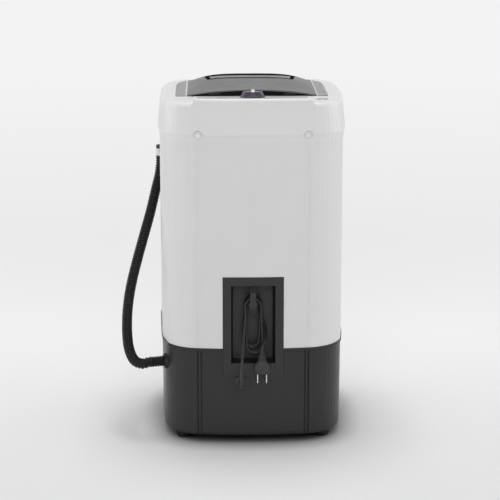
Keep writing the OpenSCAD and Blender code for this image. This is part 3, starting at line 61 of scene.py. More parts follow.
class Mat:
    """A node material on one Principled shader, with short calls for its parts."""

    def __init__(self, name, rough=0.5, metal=0.0, spec=0.5):
        self.m = bpy.data.materials.new(name)
        self.m.use_nodes = True
        self.t = self.m.node_tree
        self.t.nodes.clear()
        self.out = self.t.nodes.new("ShaderNodeOutputMaterial")
        self.b = self.t.nodes.new("ShaderNodeBsdfPrincipled")
        self.t.links.new(self.b.outputs[0], self.out.inputs[0])
        self.b.inputs["Roughness"].default_value = rough
        self.b.inputs["Metallic"].default_value = metal
        self.b.inputs["Specular IOR Level"].default_value = spec
        self.pos = self.t.nodes.new("ShaderNodeTexCoord").outputs["Object"]
        self.height = None

    def node(self, kind, **inputs):
        n = self.t.nodes.new(kind)
        for k, v in inputs.items():
            self.put(n.inputs[k.replace("_", " ")], v)
        return n

    def put(self, socket, v):
        if isinstance(v, bpy.types.NodeSocket):
            self.t.links.new(v, socket)
        else:
            socket.default_value = v

    def noise(self, scale, detail=4.0, stretch=None):
        v = self.pos
        if stretch:
            mp = self.node("ShaderNodeMapping", Vector=self.pos, Scale=stretch)
            v = mp.outputs[0]
        n = self.node("ShaderNodeTexNoise", Vector=v, Scale=scale, Detail=detail)
        return n.outputs["Fac"]

    def ramp(self, fac, stops, kind="LINEAR"):
        n = self.node("ShaderNodeValToRGB", Fac=fac)
        n.color_ramp.interpolation = kind
        while len(n.color_ramp.elements) < len(stops):
            n.color_ramp.elements.new(0.5)
        for e, (p, c) in zip(n.color_ramp.elements, stops):
            e.position = p
            e.color = (*c, 1) if isinstance(c, tuple) else (c, c, c, 1)
        return n.outputs["Color"]

    def math(self, op, a, b=0.0, clamp=False):
        n = self.t.nodes.new("ShaderNodeMath")
        n.operation = op
        n.use_clamp = clamp
        self.put(n.inputs[0], a)
        self.put(n.inputs[1], b)
        return n.outputs[0]

    def mix(self, fac, a, b, mode="MIX"):
        n = self.t.nodes.new("ShaderNodeMixRGB")
        n.blend_type = mode
        self.put(n.inputs[0], fac)
        for socket, v in ((n.inputs[1], a), (n.inputs[2], b)):
            if isinstance(v, tuple):
                v = (*v, 1)
            elif not isinstance(v, bpy.types.NodeSocket):
                v = (v, v, v, 1)
            self.put(socket, v)
        return n.outputs[0]

    def colour(self, v):
        self.put(self.b.inputs["Base Color"], v if isinstance(v, bpy.types.NodeSocket) else (*v, 1))

    def rough(self, v):
        self.put(self.b.inputs["Roughness"], v)

    def bump(self, fac, strength, distance):
        n = self.node("ShaderNodeBump", Height=fac, Strength=strength, Distance=distance)
        if self.height:
            self.put(n.inputs["Normal"], self.height)
        self.height = n.outputs[0]
        self.put(self.b.inputs["Normal"], self.height)

    def axis(self, i):
        return self.node("ShaderNodeSeparateXYZ", Vector=self.pos).outputs[i]


def plastic(name, col, spread=0.04, rough=0.35, rough_spread=0.08, grain=900, bump=0.04, bump_d=0.0002, spec=0.5):
    """Moulded plastic: faint flow of colour, uneven gloss and a fine grain."""
    m = Mat(name, rough, spec=spec)
    lo = tuple(c * (1 - spread) for c in col)
    hi = tuple(min(1, c * (1 + spread)) for c in col)
    m.colour(m.ramp(m.noise(9, 5), [(0.3, lo), (0.7, hi)]))
    m.rough(m.ramp(m.noise(38, 6), [(0.3, rough - rough_spread), (0.7, rough + rough_spread)]))
    m.bump(m.noise(grain, 3), bump, bump_d)
    return m


def metal(name, col, rough=0.3, stretch=(1, 1, 40), scale=60, bump=0.05):
    """Drawn or turned metal: streaks along one direction."""
    m = Mat(name, rough, 1.0)
    streak = m.noise(scale, 6, stretch)
    m.colour(m.ramp(streak, [(0.3, tuple(c * 0.86 for c in col)), (0.7, tuple(min(1, c * 1.06) for c in col))]))
    m.rough(m.ramp(streak, [(0.25, rough - 0.08), (0.75, rough + 0.1)]))
    m.bump(streak, bump, 0.0002)
    return m


# ---------------------------------------------------------------- materials
enamel = plastic("white_enamel", (0.70, 0.70, 0.70), 0.012, 0.33, 0.04, 240, 0.05, 0.0003)
cap_white = plastic("white_cap_plastic", (0.72, 0.72, 0.72), 0.012, 0.36, 0.05, 700, 0.04)
base_black = plastic("black_base_plastic", (0.026, 0.026, 0.027), 0.08, 0.36, 0.05, 1100, 0.12, spec=0.3)
bay_black = plastic("bay_plastic", (0.030, 0.030, 0.031), 0.06, 0.42, 0.05, 1200, 0.12, spec=0.35)
# painted light and shade by depth: the pocket's back painted lighter than the plate, its walls painted darker as
# shade, then the plate
bay_black.colour(bay_black.ramp(bay_black.math("MULTIPLY", bay_black.axis(1), 5), [
    (0.69, 0.046), (0.70, 0.012), (0.848, 0.010), (0.855, 0.028)]))
hook_black = plastic("hook_plastic", (0.030, 0.030, 0.031), 0.06, 0.4, 0.05, 1200, 0.12, spec=0.35)
# by height: darker at the bottom by the ridges, the tongue, and the head painted darker as shade
hook_black.colour(hook_black.ramp(hook_black.axis(2), [
    (0.2590, 0.010), (0.2600, 0.034), (0.2915, 0.034), (0.2925, 0.006)]))
gloss_black = plastic("black_plastic", (0.012, 0.012, 0.013), 0.1, 0.3, 0.06, 900, 0.06)
hinge_black = plastic("hinge_plastic", (0.008, 0.008, 0.009), 0.1, 0.5, 0.06, 900, 0.06, spec=0.12)

# the lid: a grey vault painted slightly lighter towards its rear edge, wings painted lighter as reflected light, and
# a thin painted highlight line between them at the step
lid_grey = Mat("grey_lid_plastic", 0.34, spec=0.2)
LINE_IN, LINE_OUT, CRISP = 0.1195, 0.1225, 900  # half widths in metres, and how hard a painted edge is
# painted light: the vault's grey grows slightly lighter towards its rear edge
lid_light_gradient = lid_grey.math("ADD", lid_grey.math("MULTIPLY", lid_grey.axis(1), 7.0), 0.62)
wide = lid_grey.math("ABSOLUTE", lid_grey.axis(0))
# painted reflection: the wings outside the step take a lighter grey
wing = lid_grey.math("MULTIPLY", lid_grey.math("SUBTRACT", wide, LINE_IN), CRISP, True)
inside = lid_grey.math("MULTIPLY", lid_grey.math("SUBTRACT", LINE_OUT, wide), CRISP, True)
# painted highlight: the thin light line along the step between vault and wing
line = lid_grey.math("MULTIPLY", wing, inside)
body_grey = lid_grey.mix(lid_grey.math("MAXIMUM", lid_light_gradient, 0.0, True), lid_grey.ramp(lid_grey.noise(9, 5), [
    (0.3, 0.180), (0.7, 0.188)]), lid_grey.ramp(lid_grey.noise(11, 5), [(0.3, 0.184), (0.7, 0.192)]))
lid_grey.colour(lid_grey.mix(line, lid_grey.mix(wing, body_grey, 0.31), 0.72))
lid_grey.rough(lid_grey.ramp(lid_grey.noise(38, 6), [(0.3, 0.30), (0.7, 0.38)]))
lid_grey.bump(lid_grey.noise(1400, 3), 0.03, 0.0001)

panel_grey = plastic("console_panel", (0.47, 0.47, 0.48), 0.02, 0.3, 0.05, 1200, 0.05)
rubber = plastic("black_rubber", (0.014, 0.014, 0.014), 0.15, 0.7, 0.1, 500, 0.2, 0.0003, 0.3)
knob_dark = plastic("knob_plastic", (0.070, 0.050, 0.082), 0.1, 0.22, 0.05, 900, 0.04)
fin_grey = plastic("knob_fin_plastic", (0.42, 0.42, 0.44), 0.03, 0.3, 0.05, 900, 0.04)
tub_white = plastic("tub_plastic", (0.62, 0.63, 0.61), 0.03, 0.45, 0.06, 300, 0.06)
timer_cream = plastic("timer_plastic", (0.62, 0.58, 0.46), 0.03, 0.45, 0.06, 400, 0.06)
button_red = plastic("red_button", (0.42, 0.02, 0.015), 0.05, 0.3, 0.05, 400, 0.04)
cord_black = plastic("cord_rubber", (0.022, 0.022, 0.022), 0.12, 0.42, 0.08, 1500, 0.1, 0.0001, 0.45)
plug_black = plastic("plug_rubber", (0.034, 0.034, 0.035), 0.1, 0.45, 0.08, 1100, 0.12, 0.0002, 0.4)
hose_black = plastic("hose_plastic", (0.010, 0.010, 0.010), 0.12, 0.42, 0.08, 900, 0.1, spec=0.28)
steel = metal("plated_steel", (0.62, 0.62, 0.63), 0.28, (1, 1, 1), 300)
shaft_steel = metal("ground_steel", (0.58, 0.58, 0.60), 0.22, (6, 6, 60), 60)
drum_steel = metal("drum_steel", (0.66, 0.67, 0.68), 0.26, (30, 30, 1), 20)
cast = metal("cast_alloy", (0.52, 0.53, 0.54), 0.45, (1, 1, 1), 220, 0.25)
brass = metal("nickel_brass", (0.95, 0.94, 0.90), 0.32, (1, 1, 12), 90)
pin_black = metal("blackened_steel", (0.035, 0.035, 0.037), 0.45, (1, 1, 1), 300)
screw_light = metal("zinc_screws", (0.86, 0.86, 0.86), 0.42, (1, 1, 1), 300)
motor_paint = plastic("motor_paint", (0.05, 0.055, 0.065), 0.08, 0.42, 0.06, 180, 0.12)

# smoked glass of the lid's window, black where its printed border lies
smoke = Mat("smoked_window", 0.12, spec=0.16)
sx, sy = smoke.axis(0), smoke.axis(1)
glass_half = smoke.math("ADD", 0.070, smoke.math("MULTIPLY", sy, -0.10))
off_x = smoke.math("SUBTRACT", smoke.math("ABSOLUTE", sx), glass_half)
off_y = smoke.math("SUBTRACT", smoke.math("ABSOLUTE", smoke.math("SUBTRACT", sy, -0.0855)), 0.0215)
edge = smoke.math("MAXIMUM", off_x, off_y)
border = smoke.math("MULTIPLY", smoke.math("ADD", edge, 0.0005), CRISP, True)
smoke.colour(smoke.mix(border, smoke.ramp(smoke.noise(12), [(0.3, 0.030), (0.7, 0.040)]), 0.004))
smoke.rough(smoke.ramp(smoke.noise(60, 5), [(0.3, 0.08), (0.7, 0.16)]))

finish = {
    enamel: ["cabinet_shell"],
    cap_white: ["upper_frame", "top_cap", "hose_collar"],
    base_black: ["base_housing", "bottom_cover"],
    bay_black: ["cord_bay"],
    hook_black: ["cord_hook"],
    hinge_black: ["inner_lid", "hinge_rail"],
    gloss_black: ["hose_clip", "hose_outlet", "hose_tip", "lid_switch"],
    lid_grey: ["outer_lid"],
    panel_grey: ["console_panel", "side_plate"],
    rubber: ["foot_1", "foot_2", "foot_3", "foot_4", "shaft_seal", "drain_elbow", "motor_mount_1", "motor_mount_2",
             "motor_mount_3"],
    knob_dark: ["timer_knob"],
    tub_white: ["outer_tub", "tub_cover"],
    timer_cream: ["timer_body", "capacitor"],
    button_red: ["lid_switch_button"],
    cord_black: ["cord_gland", "cord_lead", "cord_hank", "cord_tail", "plug_body"],
    hose_black: ["drain_hose"],
    steel: ["foot_screws"],
    pin_black: ["hinge_pins"],
    screw_light: ["case_screws"],
    shaft_steel: ["timer_shaft", "motor_shaft", "brake_pivot"],
    drum_steel: ["drum_wall", "drum_pan", "drum_rim"],
    cast: ["drum_hub", "brake_drum"],
    brass: ["plug_blades", "hub_nut"],
    motor_paint: ["motor", "motor_plate", "brake_arm"],
    smoke: ["lid_window"],
}
for m, names in finish.items():
    for n in names:
        nodes[n].data.materials.clear()
        nodes[n].data.materials.append(m.m)


def smooth(obj, angle=30):
    for p in obj.data.polygons:
        p.use_smooth = True
    obj.data.set_sharp_from_angle(angle=math.radians(angle))


for n, o in nodes.items():
    smooth(o, 32)
for n in ("cabinet_shell", "top_cap", "upper_frame", "base_housing", "cord_bay"):
    even = nodes[n].modifiers.new("even_normals", "WEIGHTED_NORMAL")
    even.keep_sharp, even.weight = True, 60


# ---------------------------------------------------------------- routes, as in the part's source
def mm(points):
    return [Vector(p) / 1000 for p in points]


def spline(points, steps):
    out = []
    for i in range(len(points) - 1):
        a, b, c, d = (points[max(0, i - 1)], points[i], points[i + 1], points[min(len(points) - 1, i + 2)])
        for k in range(steps):
            t = k / steps
            out.append(0.5 * (2 * b + (c - a) * t + (2 * a - 5 * b + 4 * c - d) * t * t
                              + (3 * b - a - 3 * c + d) * t ** 3))
    return out + [points[-1].copy()]


def length(points):
    return sum((b - a).length for a, b in zip(points, points[1:]))


def resample(points, n):
    acc = [0.0]
    for a, b in zip(points, points[1:]):
        acc.append(acc[-1] + (b - a).length)
    out, j = [], 0
    for i in range(n + 1):
        s = acc[-1] * i / n
        while j < len(acc) - 2 and acc[j + 1] < s:
            j += 1
        f = (s - acc[j]) / max(1e-12, acc[j + 1] - acc[j])
        out.append(points[j].lerp(points[j + 1], min(1, f)))
    return out


def frames(points, side):
    """Tangent and two normals at each point, carried along the line without twist from a first side direction."""
    out, n = [], Vector(side)
    for i, p in enumerate(points):
        t = (points[min(len(points) - 1, i + 1)] - points[max(0, i - 1)]).normalized()
        n = (n - n.dot(t) * t).normalized()
        out.append((p, t, n, t.cross(n)))
    return out


def mesh_object(name, verts, faces, mat, body, auto=30):
    me = bpy.data.meshes.new(name)
    me.from_pydata([tuple(v) for v in verts], [], faces)
    me.update()
    bm = bmesh.new()
    bm.from_mesh(me)
    bmesh.ops.recalc_face_normals(bm, faces=bm.faces)
    bm.to_mesh(me)
    bm.free()
    me.materials.append(mat.m)
    o = link(bpy.data.objects.new(name, me), body)
    smooth(o, auto)
    return o


def tube(name, points, radii, sides, side, mat, body, bore=None, auto=40):
    """A swept tube, solid or with a bore, one ring a point."""
    verts, faces = [], []
    fr = frames(points, side)
    for (p, t, n, b), r in zip(fr, radii):
        verts += [p + r * (math.cos(2 * math.pi * k / sides) * n + math.sin(2 * math.pi * k / sides) * b)
                  for k in range(sides)]
    rows = len(points)

    def band(i, j):
        return [(i + k, i + (k + 1) % sides, j + (k + 1) % sides, j + k) for k in range(sides)]

    for i in range(rows - 1):
        faces += band(i * sides, (i + 1) * sides)
    if bore:
        inner = len(verts)
        for p, t, n, b in fr:
            verts += [p + bore * (math.cos(2 * math.pi * k / sides) * n + math.sin(2 * math.pi * k / sides) * b)
                      for k in range(sides)]
        for i in range(rows - 1):
            faces += band(inner + (i + 1) * sides, inner + i * sides)
        faces += band(inner, 0) + band((rows - 1) * sides, inner + (rows - 1) * sides)
    else:
        faces += [tuple(range(sides))[::-1], tuple((rows - 1) * sides + k for k in range(sides))]
    return mesh_object(name, verts, faces, mat, body, auto)


# ---------------------------------------------------------------- mains cord
LOOP_R, LOOP_TOP, LOOP_BOTTOM, PITCH_Y, TURNS, BACK_Y, RINGS = 14.4, 264, 190, 5.4, 5, 140.5, 24
HANK_END = RINGS * (TURNS - 1) + 9


def hank(k):
    p, y = k % RINGS, BACK_Y + PITCH_Y * (HANK_END - k) / RINGS
    sag, swing = (2, -3) if (k // RINGS) % 2 == 0 else (-8, 3)
    low = LOOP_BOTTOM - sag
    a = math.radians(22.5)
    if p <= 8:
        return (LOOP_R * math.cos(a * p), y, LOOP_TOP + LOOP_R * math.sin(a * p))
    if p <= 12:
        return (swing * (p - 8) / 4 - LOOP_R, y, LOOP_TOP - (LOOP_TOP - low) * (p - 8) / 4)
    if p <= 20:
        return (swing - LOOP_R * math.cos(a * (p - 12)), y, low - LOOP_R * math.sin(a * (p - 12)))
    return (LOOP_R + swing * (24 - p) / 4, y, low + (LOOP_TOP - low) * (p - 20) / 4)


front_y = hank(0)[1]
gland = Vector((0.024, 0.1916, 0.122))
lead_points = mm([(24, 191.6, 122), (24, 197, 122), (24, 207, 120), (24, 216, 120), (24, 224, 126), (23.5, 226, 136),
                  (23, 223, 147), (22, 215, 160), (21, 205, 175), (19.5, 194, 191), (18, 183, 207), (16.5, 173, 223),
                  (15, 167, 236), (LOOP_R, front_y, 246)])
hank_points = mm([(LOOP_R, front_y, 252), (LOOP_R, front_y, 258)] + [hank(k) for k in range(HANK_END + 1)])
last = hank_points[-1]
tail_points = [last + 0.005 * (last - hank_points[-2]).normalized()] + mm([
    (-18.5, 141, 231), (-22.5, 146, 222), (-23.5, 155, 213), (-23, 166, 205), (-20, 176, 199), (-16.8, 182, 192.5),
    (-16, 183.5, 188), (-16, 183.5, 184)])
cord_line = resample(spline(lead_points + hank_points + tail_points, 6), 900)
cord = tube("mains_cord", cord_line, [0.0024] * len(cord_line), 12, (1, 0, 0), cord_black, "housing")
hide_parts("cord_lead", "cord_hank", "cord_tail")


def revolve(name, profile, origin, axis, mat, body, sides=48, auto=30, closed=True):
    """Turns (radius, height) pairs about an axis through origin."""
    z = Vector(axis).normalized()
    x = z.orthogonal().normalized()
    y = z.cross(x)
    verts, faces = [], []
    for r, h in profile:
        for k in range(sides):
            a = 2 * math.pi * k / sides
            verts.append(Vector(origin) + h * z + r * (math.cos(a) * x + math.sin(a) * y))
    rows = len(profile)
    for i in range(rows if closed else rows - 1):
        j = (i + 1) % rows
        faces += [(i * sides + k, i * sides + (k + 1) % sides, j * sides + (k + 1) % sides, j * sides + k)
                  for k in range(sides)]
    if not closed:
        faces += [tuple(range(sides))[::-1], tuple((rows - 1) * sides + k for k in range(sides))]
    return mesh_object(name, verts, faces, mat, body, auto)


# the gland and its tapered relief, ribbed in steps
gland_profile = [(0.0026, 0.0202), (0.0036, 0.0202)]
for i in range(5):
    z, r = 0.0180 - 0.0030 * i, 0.0038 + 0.0006 * i
    gland_profile += [(r + 0.0004, z + 0.0004), (r + 0.0004, z - 0.0010), (r - 0.0002, z - 0.0014), (r, z - 0.0024)]
gland_profile += [(0.0068, 0.0036), (0.0096, 0.0024), (0.0098, 0.0006), (0.0078, 0.0005), (0.0078, -0.0054),
                  (0.0094, -0.0056), (0.0094, -0.0078), (0.0026, -0.0078)]
relief = revolve("gland_relief", gland_profile, (gland.x, gland.y - 0.020, gland.z), (0, 1, 0), plug_black,
                 "housing", 40)
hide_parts("cord_gland")

# plug: ribbed relief on a tapered body with rounded shoulders
PLUG_X, PLUG_Y, PLUG_Z = -0.016, 0.1835, 0.165
verts, faces = [], []
rows = [(-24.8, 12.6, 6.6), (-24.5, 13.4, 7.2), (-23.2, 14.2, 7.8), (-20.0, 14.5, 8.0), (-15.0, 14.5, 8.0),
        (-11.5, 14.3, 7.9), (-8.5, 13.6, 7.6), (-6.0, 12.4, 7.2), (-4.0, 10.8, 6.8), (-2.4, 9.4, 6.4),
        (-1.2, 8.4, 6.1)]
for i in range(6):
    z, w = -0.6 + 3.0 * i, 8.6 - 0.75 * i
    rows += [(z, w, 6.2 - 0.5 * i), (z + 1.5, w, 6.2 - 0.5 * i), (z + 1.9, w - 2.2, 5.0 - 0.38 * i),
             (z + 2.7, w - 2.2, 4.9 - 0.38 * i)]
rows += [(17.8, 3.4, 3.1), (18.8, 2.9, 2.9)]
rows = [(PLUG_Z + z / 1000, w, d) for z, w, d in rows]
PLUG_SIDES = 40
for z, w, d in rows:
    for k in range(PLUG_SIDES):
        a = 2 * math.pi * k / PLUG_SIDES
        c, s_ = math.cos(a), math.sin(a)
        p = 3.2 if w > 9 else 2.0 + 1.2 * max(0, (w - 3) / 6)
        f = (abs(c) ** p + abs(s_) ** p) ** (-1 / p)
        verts.append(Vector((PLUG_X + w * c * f / 1000, PLUG_Y + d * s_ * f / 1000, z)))
for i in range(len(rows) - 1):
    a, b = i * PLUG_SIDES, (i + 1) * PLUG_SIDES
    faces += [(a + k, a + (k + 1) % PLUG_SIDES, b + (k + 1) % PLUG_SIDES, b + k) for k in range(PLUG_SIDES)]
faces += [tuple(range(PLUG_SIDES))[::-1], tuple((len(rows) - 1) * PLUG_SIDES + k for k in range(PLUG_SIDES))]
plug = mesh_object("plug_moulding", verts, faces, plug_black, "housing", 35)
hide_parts("plug_body")

# the hook's tongue ends in three small finger ridges
TONGUE_TOP, RIDGE_R, RIDGE_L, RIDGE_GAP, RIDGE_SIDES = 0.262, 0.0014, 0.0090, 0.003, 12
RIDGE_STEPS = (0.0, 0.12, 0.5, 0.88, 1.0)
tongue = [v.co for v in nodes["cord_hook"].data.vertices if v.co.z < TONGUE_TOP]
tongue_x = sum(c.x for c in tongue) / len(tongue)
tongue_y, tongue_z = max(c.y for c in tongue), min(c.z for c in tongue)
verts, faces = [], []
for off in (-RIDGE_GAP, 0.0, RIDGE_GAP):
    first = len(verts)
    for f in RIDGE_STEPS:
        thick = RIDGE_R * (0.35 if f in (0.0, 1.0) else 1.0)
        for k in range(RIDGE_SIDES):
            a = 2 * math.pi * k / RIDGE_SIDES
            verts.append(Vector((tongue_x + off + thick * math.cos(a), tongue_y + 0.6 * thick * math.sin(a),
                                 tongue_z + 0.0008 + RIDGE_L * f)))
    for i in range(len(RIDGE_STEPS) - 1):
        a, b = first + i * RIDGE_SIDES, first + (i + 1) * RIDGE_SIDES
        faces += [(a + k, a + (k + 1) % RIDGE_SIDES, b + (k + 1) % RIDGE_SIDES, b + k) for k in range(RIDGE_SIDES)]
    end = first + (len(RIDGE_STEPS) - 1) * RIDGE_SIDES
    faces += [tuple(range(first, first + RIDGE_SIDES))[::-1], tuple(range(end, end + RIDGE_SIDES))]
mesh_object("hook_ridges", verts, faces, gloss_black, "housing")

# ---------------------------------------------------------------- drain hose, ribbed
C15, S15 = math.cos(math.radians(15)), math.sin(math.radians(15))
hose_out = Vector((C15, S15, 0))
hose_p0 = Vector((0.09115, 0.09115, 0.144)) + 0.0793 * hose_out
hose_points = [hose_p0 + d * hose_out for d in (0, 0.010, 0.020, 0.028)] + mm([
    (208, 119, 141), (223, 111, 146), (233, 94, 163), (237, 74, 187), (237.5, 52, 216), (234.5, 30, 246),
    (228, 6, 278), (218, -20, 314), (206.5, -48, 352), (195, -75, 390), (186, -95, 425), (178.5, -111, 454),
    (174.5, -118, 480), (174, -118, 498), (174, -118, 516)])
hose_fine = spline(hose_points, 40)
hose_len = length(hose_fine)
plain = 0.020
RIB_PITCH = 0.005
RIB_FORM = ((0.04, 0.0082), (0.24, 0.0082), (0.36, 0.0092), (0.48, 0.0099), (0.64, 0.0100), (0.80, 0.0099),
            (0.92, 0.0092))
ribs = int((hose_len - plain) / RIB_PITCH)
s_list, r_list = [0.0, 0.0015], [0.0100, 0.0100]
pitch = (hose_len - plain - 0.002) / ribs
for i in range(ribs):
    s0 = 0.002 + i * pitch
    for f, r in RIB_FORM:
        s_list.append(s0 + f * pitch)
        r_list.append(r)
s_list += [hose_len - plain, hose_len - 0.0062]
r_list += [0.0086, 0.0086]
acc = [0.0]
for a, b in zip(hose_fine, hose_fine[1:]):
    acc.append(acc[-1] + (b - a).length)
line, j = [], 0
for s_ in s_list:
    while j < len(acc) - 2 and acc[j + 1] < s_:
        j += 1
    line.append(hose_fine[j].lerp(hose_fine[j + 1], (s_ - acc[j]) / (acc[j + 1] - acc[j])))
hose = tube("ribbed_hose", line, r_list, 32, (0, 0, 1), hose_black, "housing", bore=0.0070, auto=50)
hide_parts("drain_hose")

# ---------------------------------------------------------------- lid: the same form, finely faceted
LID_W, LID_CORNER, LID_FRONT, LID_REAR, WING_Z, LID_T = 140.0, 62.0, 142.0, 70.0, 642.0, 3.0
VAULT = 120.0 / LID_W
WIN_Y0, WIN_Y1, WIN_W0, WIN_W1 = -48.0, -115.0, 82.0, 91.0


def ease(t):
    t = max(0.0, min(1.0, t))
    return t * t * (3 - 2 * t)


def lid_w(y):
    d = min(LID_CORNER, max(0.0, LID_CORNER - LID_FRONT - y))
    return LID_W - LID_CORNER + LID_CORNER * math.sqrt(max(0.0, 1 - (d / LID_CORNER) ** 2))


def lid_top(x, y):
    u = min(1.0, abs(x) / (VAULT * lid_w(y)))
    rise = 10 + 4 * ease((LID_REAR - y) / 150) if y > -100 else 14 - 6 * ((-100 - y) / 42) ** 2
    return WING_Z + (1 + rise * (1 - u ** (2 + 2 * ease((LID_REAR - y) / 120))) if u < 1 else 0.0)


def window_w(y):
    return WIN_W0 + (WIN_W1 - WIN_W0) * (WIN_Y0 - y) / (WIN_Y0 - WIN_Y1)


def lid_xs(y):
    """Stations across the lid at y, in mm, from its middle to its side: window, vault, step, wing, edge."""
    w, v = lid_w(y), VAULT * lid_w(y)
    win = min(window_w(max(WIN_Y1, min(WIN_Y0, y))), 0.90 * v)
    xs = [win * k / 12 for k in range(13)] + [win + 0.6, win + 4.9, win + 5.6]
    xs = xs[:13] + [min(x, 0.93 * v + 0.1 * i) for i, x in enumerate(xs[13:])]
    top = xs[-1]
    xs += [top + (v - 0.05 - top) * f for f in (0.2, 0.4, 0.58, 0.73, 0.85, 0.93, 0.98, 1.0)]
    return xs + [v + 0.9, v + (w - v) * 0.2, v + (w - v) * 0.5, v + (w - v) * 0.8, w - 1.3, w - 0.4, w]


def bowed(x, y):
    w = lid_w(y)
    t = x / LID_W + (x / w - x / LID_W) * ease((abs(x) - 90) / max(1.0, w - 90))
    return y - 5 * max(0.0, min(1.0, (20 - y) / 160)) * (1 - t * t)


near_rear = {LID_REAR - 0.5 * k for k in (0, 1, 3)} | {66 - 6 * k for k in range(19)}
round_window = {WIN_Y0, WIN_Y1, -43.0, -42.2, -120.0, -120.8, -47.4, -115.6} | {-54.0 - 5.5 * k for k in range(11)}
near_front = {-124.0, -128.0, -132.0, -136.0, -139.0, -141.0, -141.7, -142.0}
ys = sorted(near_rear | round_window | near_front, reverse=True)
right = [lid_xs(y) for y in ys]
cols = 2 * len(right[0]) - 1
top_v, under_v = [], []
for i, y in enumerate(ys):
    half = right[i]
    for x in [-v for v in half[:0:-1]] + half:
        side = lid_w(y) - abs(x)
        end = min(LID_REAR - y, y + LID_FRONT)
        drop = 1.1 * (max(0.0, 1 - side / 1.3) ** 2) + 0.5 * (max(0.0, 1 - end / 1.0) ** 2)
        thin = abs(x) < half[12] + 5.2 and -120.4 < y < -42.6
        z = lid_top(x, y)
        top_v.append(Vector((x, bowed(x, y), z - min(1.2, drop))) / 1000)
        under_v.append(Vector((x, bowed(x, y), z - (1.4 if thin else LID_T))) / 1000)
rows_n, off = len(ys), len(top_v)
gone = {(i, j) for i in range(rows_n - 1) for j in range(cols - 1)
        if WIN_Y1 - 0.01 < ys[i + 1] and ys[i] < WIN_Y0 + 0.01 and len(right[0]) - 13 <= j <= len(right[0]) + 10}
verts, faces = top_v + under_v, []
for i in range(rows_n - 1):
    for j in range(cols - 1):
        if (i, j) in gone:
            continue
        a, b, c, d = i * cols + j, i * cols + j + 1, (i + 1) * cols + j + 1, (i + 1) * cols + j
        faces += [(a, b, c, d), (off + a, off + d, off + c, off + b)]
        for (p_, q_), (di, dj) in (((a, b), (-1, 0)), ((b, c), (0, 1)), ((c, d), (1, 0)), ((d, a), (0, -1))):
            k = (i + di, j + dj)
            if k in gone or not (0 <= k[0] < rows_n - 1 and 0 <= k[1] < cols - 1):
                faces.append((q_, p_, off + p_, off + q_))

# the window's printed border, as a thin ring that lies in the lid's hole
verts_b, faces_b = [], []
BORDER_RINGS = 7
for z_up in (0.0, 0.12):
    for f in (k / (BORDER_RINGS - 1) for k in range(BORDER_RINGS)):
        y0, y1, in_ = -48.6 - 9.4 * f, -114.4 + 26.4 * f, 0.6 + 7.4 * f
        path_b = [(t, y0) for t in range(-8, 9)] + [(8, y0 + (y1 - y0) * k / 6) for k in range(1, 6)]
        path_b += [(t, y1) for t in range(8, -9, -1)] + [(-8, y1 + (y0 - y1) * k / 6) for k in range(1, 6)]
        for t, y in path_b:
            x = t / 8 * (window_w(y) - in_)
            verts_b.append(Vector((x, bowed(x, y), lid_top(x, y) - 0.37 + z_up)) / 1000)
ring_n = len(verts_b) // (2 * BORDER_RINGS)
ring_order = list(range(BORDER_RINGS, 2 * BORDER_RINGS)) + list(range(BORDER_RINGS))[::-1]
for k in range(ring_n):
    m_ = (k + 1) % ring_n
    for a, b in zip(ring_order, ring_order[1:] + ring_order[:1]):
        faces_b.append((a * ring_n + k, a * ring_n + m_, b * ring_n + m_, b * ring_n + k))
border_ink = Mat("window_border_ink", 0.8, spec=0.0)
border_ink.colour(border_ink.ramp(border_ink.noise(30), [(0.3, 0.006), (0.7, 0.009)]))
mesh_object("window_border", verts_b, faces_b, border_ink, "lid", 30)
lid_skin = mesh_object("lid_skin", verts, faces, lid_grey, "lid", 28)
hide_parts("outer_lid")

# ---------------------------------------------------------------- knob, dial marks, badge place
SLOPE = math.atan2(7, 78.5)
KNOB_Y = 0.127
console = Matrix.Translation((0, KNOB_Y, (642 + 43 * math.tan(SLOPE)) / 1000)) @ Matrix.Rotation(SLOPE, 4, "X")

mark_ink = plastic("printed_marks", (0.80, 0.80, 0.80), 0.03, 0.35, 0.04, 800, 0.02)
marks_v, marks_f = [], []
for i in range(16):
    a = math.radians(210 - 20 * i)
    r0, r1, w = 0.0262, 0.0290 if i % 3 else 0.0305, 0.0005 if i % 3 else 0.0008
    d, q = Vector((math.cos(a), math.sin(a), 0)), Vector((-math.sin(a), math.cos(a), 0))
    b = len(marks_v)
    for z in (0.0002, 0.00045):
        marks_v += [console @ (r * d + u * q + Vector((0, 0, z))) for r, u in ((r0, -w), (r1, -w), (r1, w), (r0, w))]
    marks_f += [(b, b + 3, b + 2, b + 1), (b + 4, b + 5, b + 6, b + 7)]
    marks_f += [(b + k, b + (k + 1) % 4, b + 4 + (k + 1) % 4, b + 4 + k) for k in range(4)]
mesh_object("dial_marks", marks_v, marks_f, mark_ink, "housing")
for i, word in enumerate(["0", "1", "2", "3", "4", "5"]):
    a = math.radians(210 - 60 * i)
    text = bpy.data.curves.new("dial_number_%d" % i, "FONT")
    text.body, text.size, text.extrude = word, 0.0075, 0.00012
    text.align_x, text.align_y = "CENTER", "CENTER"
    text.materials.append(mark_ink.m)
    obj = link(bpy.data.objects.new(text.name, text), "housing")
    obj.matrix_world = (console @ Matrix.Translation((0.0352 * math.cos(a), 0.0352 * math.sin(a) * 0.93, 0.0004))
                        @ Matrix.Rotation(math.pi, 4, "Z"))

